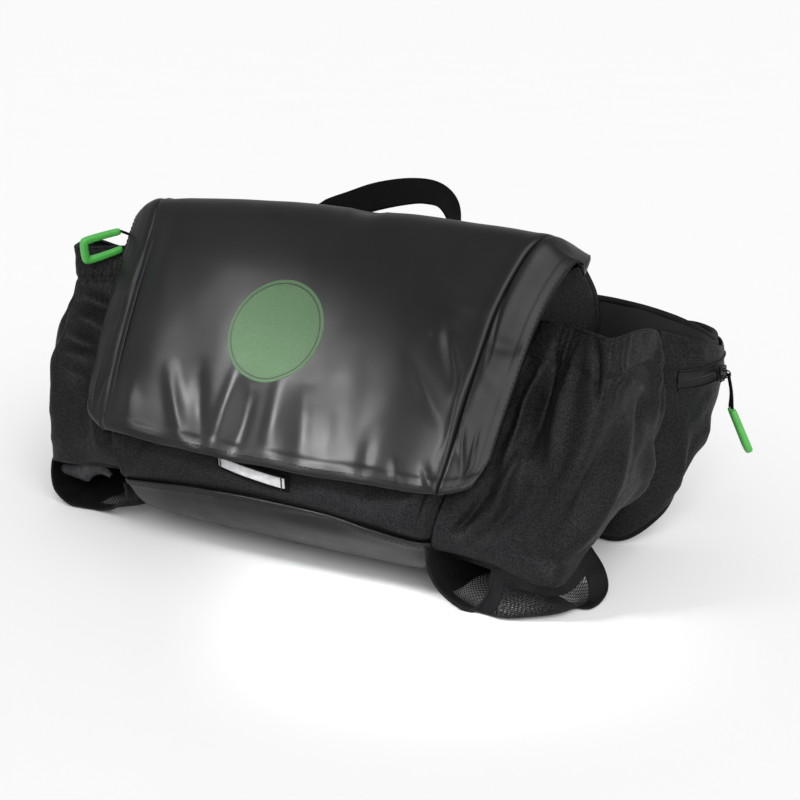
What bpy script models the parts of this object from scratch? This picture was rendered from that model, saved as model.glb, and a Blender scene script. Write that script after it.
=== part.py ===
"""A lumbar bag with a hip belt: a wedge-shaped main bag with a wide flap, a bottle pocket and a mesh
sling on each side, padded wings with zip pockets, and a webbing belt closed behind.

+X is the wearer's right-hand side seen from the front, -Y is the side that faces away from the
wearer, and +Z is up. The origin is on the floor, under the ridge of the flap. Sizes are in metres.
"""

import math
from collections import namedtuple

import bmesh
import bpy
from mathutils import Vector

# Main bag
FRONT_REACH = 0.101
BACK_REACH = 0.045
FRONT_HALF_WIDTH = 0.138
BACK_HALF_WIDTH = 0.163
BAG_HEIGHT = 0.183
BAG_WALL = 0.0016
FRONT_BOW = 0.003

# Coated base
BASE_WALL = 0.0016
BASE_SEAM_HEIGHT = 0.040
BASE_SEAM_RISE = 0.010
BASE_OVERLAP = 0.007
FRONT_POINTS = 7

# Clearance between pieces that are sewn or laid on each other, and where their curves differ
GAP = 0.0004
CURVE_GAP = 0.0006

# Flap
FLAP_HEIGHT = 0.2065
FLAP_REACH = 0.102
FLAP_HALF_WIDTH = 0.145
FLAP_EDGE_HALF_WIDTH = 0.170
FLAP_CROWN = 0.006
FLAP_EDGE_SET_BACK = 0.009
FLAP_SHIFT = 0.009
FLAP_WALL = 0.0016
GATHER_DEPTH = 0.0016
GATHER_PITCH = 0.058
HEM_DROP = 0.005
HEM_RISE = 0.07

# Badge and light loop
BADGE_RADIUS = 0.0338
BADGE_THICKNESS = 0.0006
BADGE_X = -0.0134
BADGE_RUN = 0.675
LOOP_LENGTH = 0.054
LOOP_WIDTH = 0.0085
LOOP_THICKNESS = 0.0012
LOOP_X = -0.006
LOOP_HEIGHT = 0.0665
LOOP_TILT = 0.006
LOOP_STAND_OFF = 0.0024

# Bottle pockets
POCKET_SPAN = 0.200
POCKET_REACH = 0.080
POCKET_HEIGHT = 0.163
POCKET_FLOOR = 0.025
POCKET_WALL = 0.0018

# Mesh slings under the pockets
SLING_WALL = 0.0012
SLING_REACH = 0.092
SLING_FLOOR = 0.0010
SLING_SAG_LOSS = 0.02
SLING_BINDING_RADIUS = 0.0014
SLING_COLUMNS = 15

# Back panel, wings and their pockets
BACK_PAD_HALF_WIDTH = 0.1175
BACK_PAD_THICKNESS = 0.012
BACK_PAD_LOW = 0.014
BACK_PAD_HIGH = 0.166
WING_SPAN = 0.219
WING_BACK = 0.174
WING_HEIGHT = 0.160
WING_THICKNESS = 0.011
WING_POCKET_WALL = 0.0014
WING_POCKET_BULGE = 0.004
ZIP_WIDTH = 0.010
ZIP_THICKNESS = 0.0012
ZIP_HEIGHT = 0.112
SLIDER_SIZE = (0.0055, 0.009, 0.011)
SLIDER_RUN = 0.5
SLIDER_LEAN = 0.0008
BODY_SLIDER_Y = 0.006
BODY_SLIDER_HEIGHT = 0.168
BODY_GRIP_TOP = Vector((-0.1692, -0.0202, 0.1797))

# Webbing
HANDLE_WIDTH = 0.024
HANDLE_THICKNESS = 0.0022
HANDLE_TWIST_LOW = 0.178
HANDLE_TWIST_HIGH = 0.203
BELT_WIDTH = 0.030
BELT_THICKNESS = 0.0018
BELT_HEIGHT = 0.1015
BELT_BACK = 0.181
BUCKLE_SIZE = (0.064, 0.011, 0.040)

# Pullers
CORD_RADIUS = 0.0010
GRIP_RADIUS = 0.0017
GRIP_LENGTH = 0.027
GRIP_WIDTH = 0.013

# Outline of the main bag at each height: heights, reaches and half widths are shares of the sizes
# above, and the corner is a share of the front reach.
BagRow = namedtuple("BagRow", "height front back half_front half_back corner")
BAG_ROWS = (
    BagRow(0.000, 0.42, 0.88, 0.730, 0.66, 0.16),
    BagRow(0.025, 0.55, 0.93, 0.760, 0.69, 0.15),
    BagRow(0.055, 0.69, 0.97, 0.785, 0.73, 0.14),
    BagRow(0.110, 0.85, 0.99, 0.797, 0.775, 0.13),
    BagRow(0.175, 0.945, 1.00, 0.805, 0.81, 0.12),
    BagRow(0.250, 1.00, 1.00, 0.815, 0.84, 0.12),
    BagRow(0.355, 0.972, 1.00, 0.838, 0.868, 0.12),
    BagRow(0.490, 0.850, 1.00, 0.870, 0.915, 0.14),
    BagRow(0.655, 0.622, 1.00, 0.910, 0.957, 0.14),
    BagRow(0.790, 0.415, 1.00, 0.950, 1.000, 0.12),
    BagRow(0.900, 0.255, 1.00, 0.980, 0.975, 0.10),
    BagRow(1.000, 0.110, 0.98, 1.000, 0.920, 0.10),
)

# The flap along its run, from its seam on the back to its front edge. Reach and height are the
# inner face of its middle; shift is how far the cloth has slumped to one side.
FlapRow = namedtuple("FlapRow", "run reach height half edge set_back crown shift")
FLAP_ROWS = (
    FlapRow(0.00, -0.458, 0.832, 0.985, 0.865, 0.00, 0.0, 0.0),
    FlapRow(0.06, -0.456, 0.878, 0.990, 0.870, 0.05, 0.0, 0.1),
    FlapRow(0.13, -0.405, 0.922, 0.995, 0.905, 0.40, 0.3, 0.2),
    FlapRow(0.22, -0.262, 0.958, 0.990, 0.950, 1.00, 0.7, 0.2),
    FlapRow(0.33, -0.060, 0.994, 0.990, 0.982, 2.25, 1.0, 0.25),
    FlapRow(0.38, 0.045, 0.990, 0.966, 0.972, 1.60, 1.0, 0.25),
    FlapRow(0.44, 0.140, 0.940, 0.935, 0.947, 1.00, 1.0, 0.4),
    FlapRow(0.55, 0.330, 0.820, 0.902, 0.917, 0.90, 1.0, 0.65),
    FlapRow(0.70, 0.570, 0.650, 0.882, 0.893, 0.90, 1.0, 0.65),
    FlapRow(0.85, 0.800, 0.488, 0.860, 0.868, 0.95, 0.9, 0.45),
    FlapRow(1.00, 0.995, 0.366, 0.830, 0.850, 1.00, 0.9, 0.0),
)

# Bottle pocket at each height: where its outer corner and its side stand, and where its two ends
# meet the bag and the wing.
PocketRow = namedtuple("PocketRow", "height corner_x corner_y side_x side_y end_x root dent")
POCKET_ROWS = (
    PocketRow(0.15, 0.930, 1.000, 0.890, 0.10, 0.800, 0.00, 0.00),
    PocketRow(0.34, 0.965, 0.915, 1.005, -0.05, 0.900, 0.02, 0.00),
    PocketRow(0.49, 0.980, 0.870, 1.035, -0.12, 0.945, 0.08, 0.03),
    PocketRow(0.64, 0.985, 0.800, 1.035, -0.15, 0.960, 0.14, 0.06),
    PocketRow(0.76, 0.980, 0.650, 1.020, -0.15, 0.960, 0.16, 0.06),
    PocketRow(0.89, 0.975, 0.500, 1.025, -0.15, 0.955, 0.18, 0.05),
    PocketRow(1.02, 0.980, 0.380, 1.030, -0.15, 0.950, 0.20, 0.03),
)

# The pocket's rim and floor along its wall, from the bag to the wing.
RimRow = namedtuple("RimRow", "run rim floor")
RIM_ROWS = (
    RimRow(0.00, 0.990, 1.50),
    RimRow(0.20, 0.992, 1.32),
    RimRow(0.42, 0.995, 1.00),
    RimRow(0.70, 0.980, 0.95),
    RimRow(1.00, 0.825, 0.95),
)

# The sling from its front edge to its rear edge: how far forward it hangs, how far out its outer
# edge is fixed, how far its bottom bulges past that, and how deep it hangs.
SlingRow = namedtuple("SlingRow", "run reach outer bulge depth")
SLING_ROWS = (
    SlingRow(0.00, 0.990, 0.0, 0.00, 0.90),
    SlingRow(0.20, 0.930, 0.6, 0.02, 1.00),
    SlingRow(0.45, 0.760, 1.0, 0.06, 1.00),
    SlingRow(0.72, 0.520, 1.0, 0.14, 1.00),
    SlingRow(1.00, 0.300, 1.0, 0.20, 0.95),
)
SLING_INNER = 0.112
SLING_OUTER = 0.186
SLING_INNER_HEIGHT = 0.0160
SLING_FRONT_RISE = 0.0175

# What the soft cloth does differently on each side: the height that the pocket's rim gains, how far
# out the sling's front edge ends, how far its lowest stretch hangs back, and how far out it is lowest.
Slump = namedtuple("Slump", "rim_lift sling_front_outer sling_swing sling_skew")
SLUMPS = {"left": Slump(0.012, 0.190, 0.019, 1.7), "right": Slump(-0.003, 0.155, -0.006, 1.3)}

# The wing from its root beside the back pad to its tip behind the wearer.
WingRow = namedtuple("WingRow", "run x y low high thick lean")
WING_ROWS = (
    WingRow(0.00, 0.541, 0.2960, 0.020, 0.985, 1.00, 0.0),
    WingRow(0.12, 0.685, 0.2970, 0.020, 1.005, 1.00, 0.0),
    WingRow(0.24, 0.813, 0.3220, 0.025, 0.985, 1.00, -0.9),
    WingRow(0.34, 0.909, 0.3680, 0.120, 0.945, 0.95, -0.1),
    WingRow(0.43, 0.963, 0.4370, 0.225, 0.895, 0.92, 0.8),
    WingRow(0.50, 0.985, 0.5230, 0.310, 0.845, 0.88, 1.0),
    WingRow(0.57, 0.985, 0.6090, 0.375, 0.812, 0.85, 1.0),
    WingRow(0.66, 0.966, 0.7130, 0.425, 0.795, 0.80, 0.9),
    WingRow(0.76, 0.932, 0.8160, 0.462, 0.782, 0.74, 0.7),
    WingRow(0.86, 0.863, 0.9020, 0.493, 0.775, 0.68, 0.4),
    WingRow(0.94, 0.781, 0.9650, 0.512, 0.757, 0.62, 0.2),
    WingRow(1.00, 0.708, 1.0000, 0.525, 0.744, 0.55, 0.0),
)
WING_LEAN = 0.009

# A grip's centre line: how far across and how far down it stands at each point.
GripRow = namedtuple("GripRow", "across down")
GRIP_ROWS = (
    GripRow(-0.75, 0.00),
    GripRow(-0.88, 0.30),
    GripRow(-1.00, 0.62),
    GripRow(-0.92, 0.92),
    GripRow(-0.60, 1.00),
    GripRow(0.60, 1.00),
    GripRow(0.92, 0.92),
    GripRow(1.00, 0.62),
    GripRow(0.88, 0.30),
    GripRow(0.75, 0.00),
)

SIDES = {"left": -1, "right": 1}


def between(rows, at):
    """The row at this share: a smooth curve through the rows, whose first column is the share."""
    at = min(max(at, rows[0][0]), rows[-1][0])
    i = max(k for k in range(len(rows) - 1) if rows[k][0] <= at)
    before, low, high, after = (rows[min(max(k, 0), len(rows) - 1)] for k in (i - 1, i, i + 1, i + 2))
    span = high[0] - low[0]
    t = (at - low[0]) / span
    values = []
    for a, b, c, d in zip(before, low, high, after):
        slope_low = (c - a) / (high[0] - before[0]) * span
        slope_high = (d - b) / (after[0] - low[0]) * span
        values.append(
            (2 * t**3 - 3 * t**2 + 1) * b
            + (t**3 - 2 * t**2 + t) * slope_low
            + (3 * t**2 - 2 * t**3) * c
            + (t**3 - t**2) * slope_high
        )
    return type(low)(*values)


def shares(count, start=0.0, stop=1.0):
    """Evenly spaced shares from start to stop, both included."""
    return [start + (stop - start) * i / (count - 1) for i in range(count)]


def new_material(name, colour, roughness, metallic=0.0):
    material = bpy.data.materials.new(name)
    material.use_nodes = True
    shader = material.node_tree.nodes["Principled BSDF"]
    shader.inputs["Base Color"].default_value = (*colour, 1)
    shader.inputs["Roughness"].default_value = roughness
    shader.inputs["Metallic"].default_value = metallic
    return material


def add_object(name, mesh, material, modifiers=()):
    """Links the mesh as an object with smooth faces, and gives it (type, settings) modifiers."""
    mesh.shade_smooth()
    obj = bpy.data.objects.new(name, mesh)
    obj.data.materials.append(material)
    parts.objects.link(obj)
    for kind, settings in modifiers:
        modifier = obj.modifiers.new(kind.title(), kind)
        for key, value in settings.items():
            setattr(modifier, key, value)
    return obj


def loft(name, rings, material, closed=False, caps=False, wall=0.0, outwards=True, flip=False):
    """Skins a list of rings of points. A wall turns the open skin into a shell of that thickness."""
    mesh = bpy.data.meshes.new(name)
    bm = bmesh.new()
    grid = [[bm.verts.new(point) for point in ring] for ring in rings]
    count = len(grid[0])
    for lower, upper in zip(grid, grid[1:]):
        for i in range(count if closed else count - 1):
            j = (i + 1) % count
            bm.faces.new((lower[i], lower[j], upper[j], upper[i]))
    if caps in (True, "start"):
        bm.faces.new(tuple(reversed(grid[0])))
    if caps is True:
        bm.faces.new(grid[-1])
    if caps is True:
        bmesh.ops.recalc_face_normals(bm, faces=bm.faces[:])
    elif flip:
        bmesh.ops.reverse_faces(bm, faces=bm.faces[:])
    bm.to_mesh(mesh)
    bm.free()
    modifiers = []
    if wall:
        modifiers.append(("SOLIDIFY", {"thickness": wall, "offset": 1 if outwards else -1}))
    return add_object(name, mesh, material, modifiers)


def strap(name, centres, width_axes, width, thickness, material):
    """A flat webbing along centres; width_axes says which way its width runs at each."""
    rings = []
    for i, (centre, axis) in enumerate(zip(centres, width_axes)):
        ahead = centres[min(i + 1, len(centres) - 1)] - centres[max(i - 1, 0)]
        across = axis.normalized() * width / 2
        up = ahead.cross(axis).normalized() * thickness / 2
        face = [centre + across + up, centre - across + up]
        rings.append(face + [centre - across - up, centre + across - up])
    return loft(name, rings, material, closed=True, caps=True)


def tube(name, points, radius, material, cyclic=False):
    """A round cord or bar along the points."""
    curve = bpy.data.curves.new(name, "CURVE")
    curve.dimensions = "3D"
    curve.bevel_depth = radius
    curve.bevel_resolution = 2
    curve.use_fill_caps = True
    spline = curve.splines.new("POLY")
    spline.points.add(len(points) - 1)
    for target, point in zip(spline.points, points):
        target.co = (*point, 1)
    spline.use_cyclic_u = cyclic
    obj = bpy.data.objects.new(name, curve)
    obj.data.materials.append(material)
    parts.objects.link(obj)
    return obj


def smooth_path(points, count):
    """Points spread along a smooth curve through the given ones."""
    Point = namedtuple("Point", "at x y z")
    rows = [Point(i / (len(points) - 1), *point) for i, point in enumerate(points)]
    return [Vector(between(rows, at)[1:]) for at in shares(count)]


def bag_half_outline(height, inset=0.0):
    """Points of the bag's outline at a height, from the middle of the front round +X to the back."""
    row = between(BAG_ROWS, height / BAG_HEIGHT)
    front = -row.front * FRONT_REACH + inset
    back = row.back * BACK_REACH - inset
    half_front = row.half_front * FRONT_HALF_WIDTH - inset
    half_back = row.half_back * BACK_HALF_WIDTH - inset
    corner = row.corner * FRONT_REACH
    front_corner = Vector((half_front, front, 0))
    back_corner = Vector((half_back, back, 0))
    side = (back_corner - front_corner).normalized() * corner
    points = []
    for share in (0, 0.4, 0.75):
        x = share * (half_front - corner)
        points.append(Vector((x, front - FRONT_BOW * (1 - (x / half_front) ** 2), 0)))
    start = front_corner - Vector((corner, 0, 0))
    points += rounded(start, front_corner, front_corner + side, 3)
    for share in (0.25, 0.5, 0.75):
        points.append((front_corner + side).lerp(back_corner - side, share))
    end = back_corner - Vector((corner, 0, 0))
    points += rounded(back_corner - side, back_corner, end, 3)
    points.append(Vector((end.x * 0.5, back, 0)))
    points.append(Vector((0, back, 0)))
    return [point + Vector((0, 0, height)) for point in points]


def rounded(start, corner, end, steps):
    """A rounded corner from start to end."""
    return [start.lerp(corner, t).lerp(corner.lerp(end, t), t) for t in shares(steps + 1)]


def bag_outline(heights, inset=0.0):
    """The whole outline, anticlockwise from above; heights gives each point of the half its own."""
    half = [bag_half_outline(height, inset)[i] for i, height in enumerate(heights)]
    return half + [Vector((-p.x, p.y, p.z)) for p in reversed(half[1:-1])]


def bag_side_x(height, y):
    """How far out the bag's side stands at this height and depth."""
    row = between(BAG_ROWS, height / BAG_HEIGHT)
    front = -row.front * FRONT_REACH
    back = row.back * BACK_REACH
    share = min(max((y - front) / (back - front), 0), 1)
    return row.half_front * FRONT_HALF_WIDTH * (1 - share) + row.half_back * BACK_HALF_WIDTH * share


def bag_front_y(height, x):
    """The depth of the bag's front at this height."""
    row = between(BAG_ROWS, height / BAG_HEIGHT)
    half = row.half_front * FRONT_HALF_WIDTH
    return -row.front * FRONT_REACH - FRONT_BOW * (1 - (x / half) ** 2)


def base_seam_heights():
    """The height of the base's top edge at each point of the half outline."""
    half = bag_half_outline(BASE_SEAM_HEIGHT)
    heights = []
    for i, point in enumerate(half):
        rise = 1 - (point.x / half[FRONT_POINTS - 1].x) ** 2 if i < FRONT_POINTS else 0
        heights.append(BASE_SEAM_HEIGHT + BASE_SEAM_RISE * rise)
    return heights


def make_base():
    seam = base_seam_heights()
    levels = (0, 0.06, 0.15, 0.3, 0.5, 0.75, 1)
    rings = [bag_outline([share * height for height in seam]) for share in levels]
    loft("base_panel", rings, coated, closed=True, caps="start", wall=BASE_WALL, outwards=False)


def make_main_bag():
    seam = base_seam_heights()
    tucked = BASE_WALL + 2 * CURVE_GAP
    rings = [bag_outline([height - BASE_OVERLAP for height in seam], tucked)]
    rings.append(bag_outline([height + 0.001 for height in seam], tucked))
    rings.append(bag_outline([height + 0.006 for height in seam], GAP))
    for share in shares(7):
        levels = [(height + BASE_OVERLAP * 2) * (1 - share) + BAG_HEIGHT * share for height in seam]
        rings.append(bag_outline(levels, GAP))
    loft("main_body", rings, textured, closed=True, wall=BAG_WALL, outwards=False)


def flap_point(run, across, lift=0.0):
    """A point on the flap. across is -2 to 2: the side seams are at 1 and the edges at 2."""
    run *= 1 - HEM_RISE * max(abs(across) - 1, 0) ** 1.5
    row = between(FLAP_ROWS, run)
    step = 0.01
    back = between(FLAP_ROWS, max(run - step, 0))
    ahead = between(FLAP_ROWS, min(run + step, 1))
    forward = (ahead.reach - back.reach) * FLAP_REACH
    along = Vector((0, -forward, (ahead.height - back.height) * FLAP_HEIGHT)).normalized()
    normal = along.cross(Vector((1, 0, 0))).normalized()
    inner = min(abs(across), 1)
    outer = max(abs(across) - 1, 0)
    half = row.half * FLAP_HALF_WIDTH
    edge = row.edge * FLAP_EDGE_HALF_WIDTH
    x = math.copysign(inner * half + outer * (edge - half), across) - row.shift * FLAP_SHIFT
    rise = row.crown * FLAP_CROWN * (1 - inner**2) - row.set_back * FLAP_EDGE_SET_BACK * outer**1.3
    gather = GATHER_DEPTH * max(run - 0.6, 0) / 0.4 * math.sin(2 * math.pi * x / GATHER_PITCH)
    drop = HEM_DROP * (1 - inner**2) * max(run - 0.85, 0) / 0.15
    point = Vector((x, -row.reach * FLAP_REACH, row.height * FLAP_HEIGHT))
    return point + along * drop + normal * (rise + gather * (1 - outer) + lift)


def flap_runs():
    return [0.0, 0.06, 0.13, 0.22, 0.30, 0.35, 0.39, 0.44, 0.52, 0.61, 0.70, 0.78, 0.86, 0.93, 1.0]


def make_flap():
    panel = [[flap_point(run, across) for across in shares(17, -0.997, 0.997)] for run in flap_runs()]
    loft("flap_panel", panel, coated, wall=FLAP_WALL, flip=True)
    for side, sign in SIDES.items():
        strip = []
        for run in flap_runs():
            trim = 0.25 * max(run - 0.93, 0) / 0.07
            acrosses = [sign * across for across in shares(5, 1.02, 2.0 - trim)]
            strip.append([flap_point(run, across) for across in acrosses])
        loft("flap_strip_" + side, strip, coated, wall=FLAP_WALL, flip=sign > 0)


def make_badge():
    """A thin disc that follows the flap."""
    centre = between(FLAP_ROWS, BADGE_RUN)
    half = centre.half * FLAP_HALF_WIDTH
    run_length = (flap_point(BADGE_RUN + 0.05, 0) - flap_point(BADGE_RUN - 0.05, 0)).length / 0.1
    lift = FLAP_WALL + CURVE_GAP
    sides = 28
    rings = []
    for share in (0.05, 0.55, 1.0):
        ring = []
        for i in range(sides):
            angle = 2 * math.pi * i / sides
            run = BADGE_RUN - share * BADGE_RADIUS * math.sin(angle) / run_length
            shift = between(FLAP_ROWS, run).shift * FLAP_SHIFT
            across = (BADGE_X + shift + share * BADGE_RADIUS * math.cos(angle)) / half
            ring.append(flap_point(run, across, lift))
        rings.append(ring)
    loft("flap_badge", rings, badge_green, closed=True, caps="start", wall=BADGE_THICKNESS, flip=True)


def make_light_loop():
    centres = []
    for share in shares(11):
        x = LOOP_X + (share - 0.5) * LOOP_LENGTH
        z = LOOP_HEIGHT - (share - 0.5) * LOOP_TILT
        arch = min(1, 5 * min(share, 1 - share)) if 0 < share < 1 else 0
        y = bag_front_y(z, x) - LOOP_THICKNESS / 2 - 4 * GAP - LOOP_STAND_OFF * arch
        centres.append(Vector((x, y, z)))
    lean = Vector((0, -0.12, 1))
    strap("light_loop", centres, [lean] * len(centres), LOOP_WIDTH, LOOP_THICKNESS, reflective)


def wing_face(run, share, sign, side=1, lift=0.0):
    """A point on a wing. share is -1 at its low edge and 1 at its top, side 1 is its outer face."""
    row = between(WING_ROWS, run)
    back = between(WING_ROWS, max(run - 0.01, 0))
    ahead = between(WING_ROWS, min(run + 0.01, 1))
    along = Vector(((ahead.x - back.x) * WING_SPAN, (ahead.y - back.y) * WING_BACK, 0)).normalized()
    out = Vector((along.y, -along.x, 0))
    low = row.low * WING_HEIGHT
    high = row.high * WING_HEIGHT
    z = low + (high - low) * (share + 1) / 2
    half = WING_THICKNESS * row.thick / 2 * max(1 - abs(share) ** 6, 0) ** 0.5
    offset = side * half - row.lean * WING_LEAN * (1 - share) / 2 + lift * side
    point = Vector((row.x * WING_SPAN, row.y * WING_BACK, z)) + out * offset
    return Vector((sign * point.x, point.y, point.z))


def wing_outer_y(x, height):
    """The depth of the wing's outer face at this distance from the middle, along its root half."""
    low_run, high_run = 0.0, 0.45
    for _ in range(30):
        run = (low_run + high_run) / 2
        row = between(WING_ROWS, run)
        share = 2 * (height - row.low * WING_HEIGHT) / ((row.high - row.low) * WING_HEIGHT) - 1
        point = wing_face(run, min(max(share, -0.9), 0.9), 1)
        if point.x < x:
            low_run = run
        else:
            high_run = run
    return point.y


def make_wing(side, sign):
    shares_up = [-1, -0.985, -0.94, -0.8, -0.4, 0.0, 0.4, 0.8, 0.94, 0.985, 1]
    rings = []
    for run in shares(15):
        outer = [wing_face(run, share, sign) for share in shares_up]
        inner = [wing_face(run, share, sign, side=-1) for share in reversed(shares_up[1:-1])]
        rings.append(outer + inner)
    loft("wing_" + side, rings, padded, closed=True, caps=True)


def wing_pocket_point(run, share, sign, lift=0.0):
    """A point on the wing pocket's skin: share runs from its low edge to its top."""
    bulge = WING_POCKET_BULGE * max(math.sin(math.pi * (run - 0.33) / 0.45), 0) * max(1 - share**2, 0)
    return wing_face(run, -0.82 + (share + 1) / 2 * 1.64, sign, lift=GAP + bulge + lift)


def make_wing_pocket(side, sign):
    rings = [
        [wing_pocket_point(run, share, sign) for share in shares(8, -1, 1)]
        for run in shares(11, 0.345, 0.78)
    ]
    loft("wing_pocket_" + side, rings, textured, wall=WING_POCKET_WALL, outwards=True, flip=sign > 0)


def zip_point(run, sign, height, lift):
    """A point at this height on the wing pocket's outside."""
    low_share, high_share = -1.0, 1.0
    for _ in range(30):
        share = (low_share + high_share) / 2
        point = wing_pocket_point(run, share, sign, WING_POCKET_WALL + lift)
        if point.z < height:
            low_share = share
        else:
            high_share = share
    return point


def make_zip(side, sign):
    rings = []
    for run in shares(13, 0.36, 0.62):
        heights = [ZIP_HEIGHT - ZIP_WIDTH / 2, ZIP_HEIGHT, ZIP_HEIGHT + ZIP_WIDTH / 2]
        inner = [zip_point(run, sign, height, CURVE_GAP) for height in heights]
        outer = [zip_point(run, sign, height, CURVE_GAP + ZIP_THICKNESS) for height in reversed(heights)]
        rings.append(inner + outer)
    loft("wing_zip_" + side, rings, zip_black, closed=True, caps=True)


def make_wing_slider(side, sign):
    """The slider on the wing's zip, with its cord and grip hanging from it."""
    base = zip_point(SLIDER_RUN, sign, ZIP_HEIGHT, CURVE_GAP + ZIP_THICKNESS)
    out = zip_point(SLIDER_RUN, sign, ZIP_HEIGHT, GAP + 0.01) - zip_point(SLIDER_RUN, sign, ZIP_HEIGHT, GAP)
    out = Vector((out.x, out.y, 0)).normalized()
    box_object("zip_slider_" + side, base + out * (GAP + SLIDER_SIZE[0] / 2), out, SLIDER_SIZE, metal_black)
    ring = base + out * (2 * GAP + SLIDER_SIZE[0] + CORD_RADIUS)
    top = ring + Vector((sign * 0.0065, 0, -0.0255))
    arms = make_grip("pull_grip_" + side, top, Vector((sign * 0.5, 0, -1)), Vector((0, 1, 0)))
    drop = Vector((sign * 0.0045, 0, -0.013))
    make_cord("pull_cord_" + side, ring, drop, arms)


def make_body_slider():
    """The main zip's slider under the flap's edge, with its grip laid over the left pocket's rim."""
    ahead = 0.01
    x = -bag_side_x(BODY_SLIDER_HEIGHT, BODY_SLIDER_Y)
    turn = -bag_side_x(BODY_SLIDER_HEIGHT, BODY_SLIDER_Y + ahead) - x
    out = Vector((-ahead, turn, 0)).normalized()
    base = Vector((x, BODY_SLIDER_Y, BODY_SLIDER_HEIGHT)) + out * SLIDER_LEAN
    box_object("body_slider", base + out * (GAP + SLIDER_SIZE[0] / 2), out, SLIDER_SIZE, metal_black)
    ring = base + out * (4 * GAP + SLIDER_SIZE[0] + CORD_RADIUS)
    arms = make_grip("body_pull_grip", BODY_GRIP_TOP, Vector((-17, -16, -11)), Vector((-3, 0, 13)))
    make_cord("body_pull_cord", ring, Vector((-0.0090, -0.0130, 0.0118)), arms)


def box_object(name, centre, facing, size, material, bevel=0.0010):
    """A box with rounded edges whose first side runs along facing."""
    mesh = bpy.data.meshes.new(name)
    bm = bmesh.new()
    bmesh.ops.create_cube(bm, size=1)
    bmesh.ops.scale(bm, vec=size, verts=bm.verts)
    bm.to_mesh(mesh)
    bm.free()
    settings = {"width": bevel, "segments": 2}
    obj = add_object(name, mesh, material, [("BEVEL", settings)])
    obj.location = centre
    obj.rotation_euler = (0, 0, math.atan2(facing.y, facing.x))
    return obj


def pocket_row(height):
    return between(POCKET_ROWS, height / POCKET_HEIGHT)


def pocket_point(run, share, side):
    """A point on the pocket's wall: run goes from the bag to the wing, share from floor to rim."""
    rim_row = between(RIM_ROWS, run)
    low = rim_row.floor * POCKET_FLOOR
    sign = SIDES[side]
    rim = rim_row.rim * POCKET_HEIGHT + SLUMPS[side].rim_lift
    height = low + (rim - low) * share
    row = pocket_row(height)
    root_y = bag_front_y(height, FRONT_HALF_WIDTH) + 0.004 + row.root * POCKET_REACH
    root = Vector((bag_side_x(height, root_y) + CURVE_GAP, root_y, 0))
    corner = Vector((row.corner_x * POCKET_SPAN, -row.corner_y * POCKET_REACH, 0))
    flank = Vector((row.side_x * POCKET_SPAN, -row.side_y * POCKET_REACH, 0))
    end_x = row.end_x * POCKET_SPAN
    end = Vector((end_x, wing_outer_y(end_x, height) - 3 * GAP, 0))
    dent = root.lerp(corner, 0.45) + Vector((0, row.dent * POCKET_REACH, 0))
    Stop = namedtuple("Stop", "at x y")
    stops = (
        Stop(0.00, root.x, root.y),
        Stop(0.22, dent.x, dent.y),
        Stop(0.45, corner.x, corner.y),
        Stop(0.74, flank.x, flank.y),
        Stop(1.00, end.x, end.y),
    )
    stop = between(stops, run)
    return Vector((sign * stop.x, stop.y, height))


def make_pocket(side, sign):
    """The pocket's wall and floor in one skin; the bag and the wing close its inner side."""
    runs = [0, 0.08, 0.17, 0.26, 0.35, 0.41, 0.46, 0.52, 0.60, 0.70, 0.80, 0.90, 1.0]
    rings = []
    for run in runs:
        ring = []
        foot = pocket_point(run, 0, side)
        inner_y = foot.y + (0.018 - foot.y) * 0.12
        inner_x = sign * (bag_side_x(foot.z, inner_y) + CURVE_GAP)
        for share in (0.0, 0.5, 0.85):
            x = inner_x + (foot.x - inner_x) * share
            y = inner_y + (foot.y - inner_y) * share
            ring.append(Vector((x, y, foot.z - 0.001 * share)))
        for share in (0.0, 0.04, 0.12, 0.24, 0.38, 0.52, 0.66, 0.78, 0.86, 0.93, 1.0):
            ring.append(pocket_point(run, share, side))
        rings.append(ring)
    loft("bottle_pocket_" + side, rings, textured, wall=POCKET_WALL, outwards=False, flip=sign < 0)


def sling_floor(x):
    """How high the sling's edges may reach: just under the pocket's floor."""
    share = min(max((x - SLING_INNER) / (SLING_OUTER - SLING_INNER), 0), 1)
    inner, outer = RIM_ROWS[0].floor, RIM_ROWS[-1].floor
    return POCKET_FLOOR * (inner + (outer - inner) * share) - GAP


def sling_point(run, share, side):
    """A point of the sling's inner face; share goes from the bag, down and out, to the pocket."""
    sign = SIDES[side]
    row = between(SLING_ROWS, run)
    y = -row.reach * SLING_REACH
    front_outer = SLUMPS[side].sling_front_outer
    outer_x = front_outer + (SLING_OUTER - front_outer) * min(max(row.outer, 0), 1)
    inner_z = SLING_INNER_HEIGHT + SLING_FRONT_RISE * max(1 - run / 0.3, 0) ** 2
    inner_x = bag_side_x(inner_z, y) + GAP
    outer_z = sling_floor(outer_x) - 2 * SLING_WALL - GAP
    angle = math.pi * share
    middle = (inner_x + outer_x) / 2
    x = middle - (outer_x - inner_x) / 2 * math.copysign(abs(math.cos(angle)) ** 0.7, math.cos(angle))
    x += row.bulge * SLING_OUTER * 0.5 * math.sin(math.pi * share**1.8)
    skew = 1 + (SLUMPS[side].sling_skew - 1) * (1 - run)
    depth = max(math.sin(math.pi * share**skew), 0) ** 0.6
    y += SLUMPS[side].sling_swing * (1 - run) * math.sin(math.pi / 2 * min(share / 0.6, 1))
    edge_z = inner_z + (outer_z - inner_z) * share
    floor_z = SLING_FLOOR + SLING_SAG_LOSS * (1 - row.depth)
    z = edge_z + (floor_z - edge_z) * depth
    return Vector((sign * x, y, z))


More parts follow.
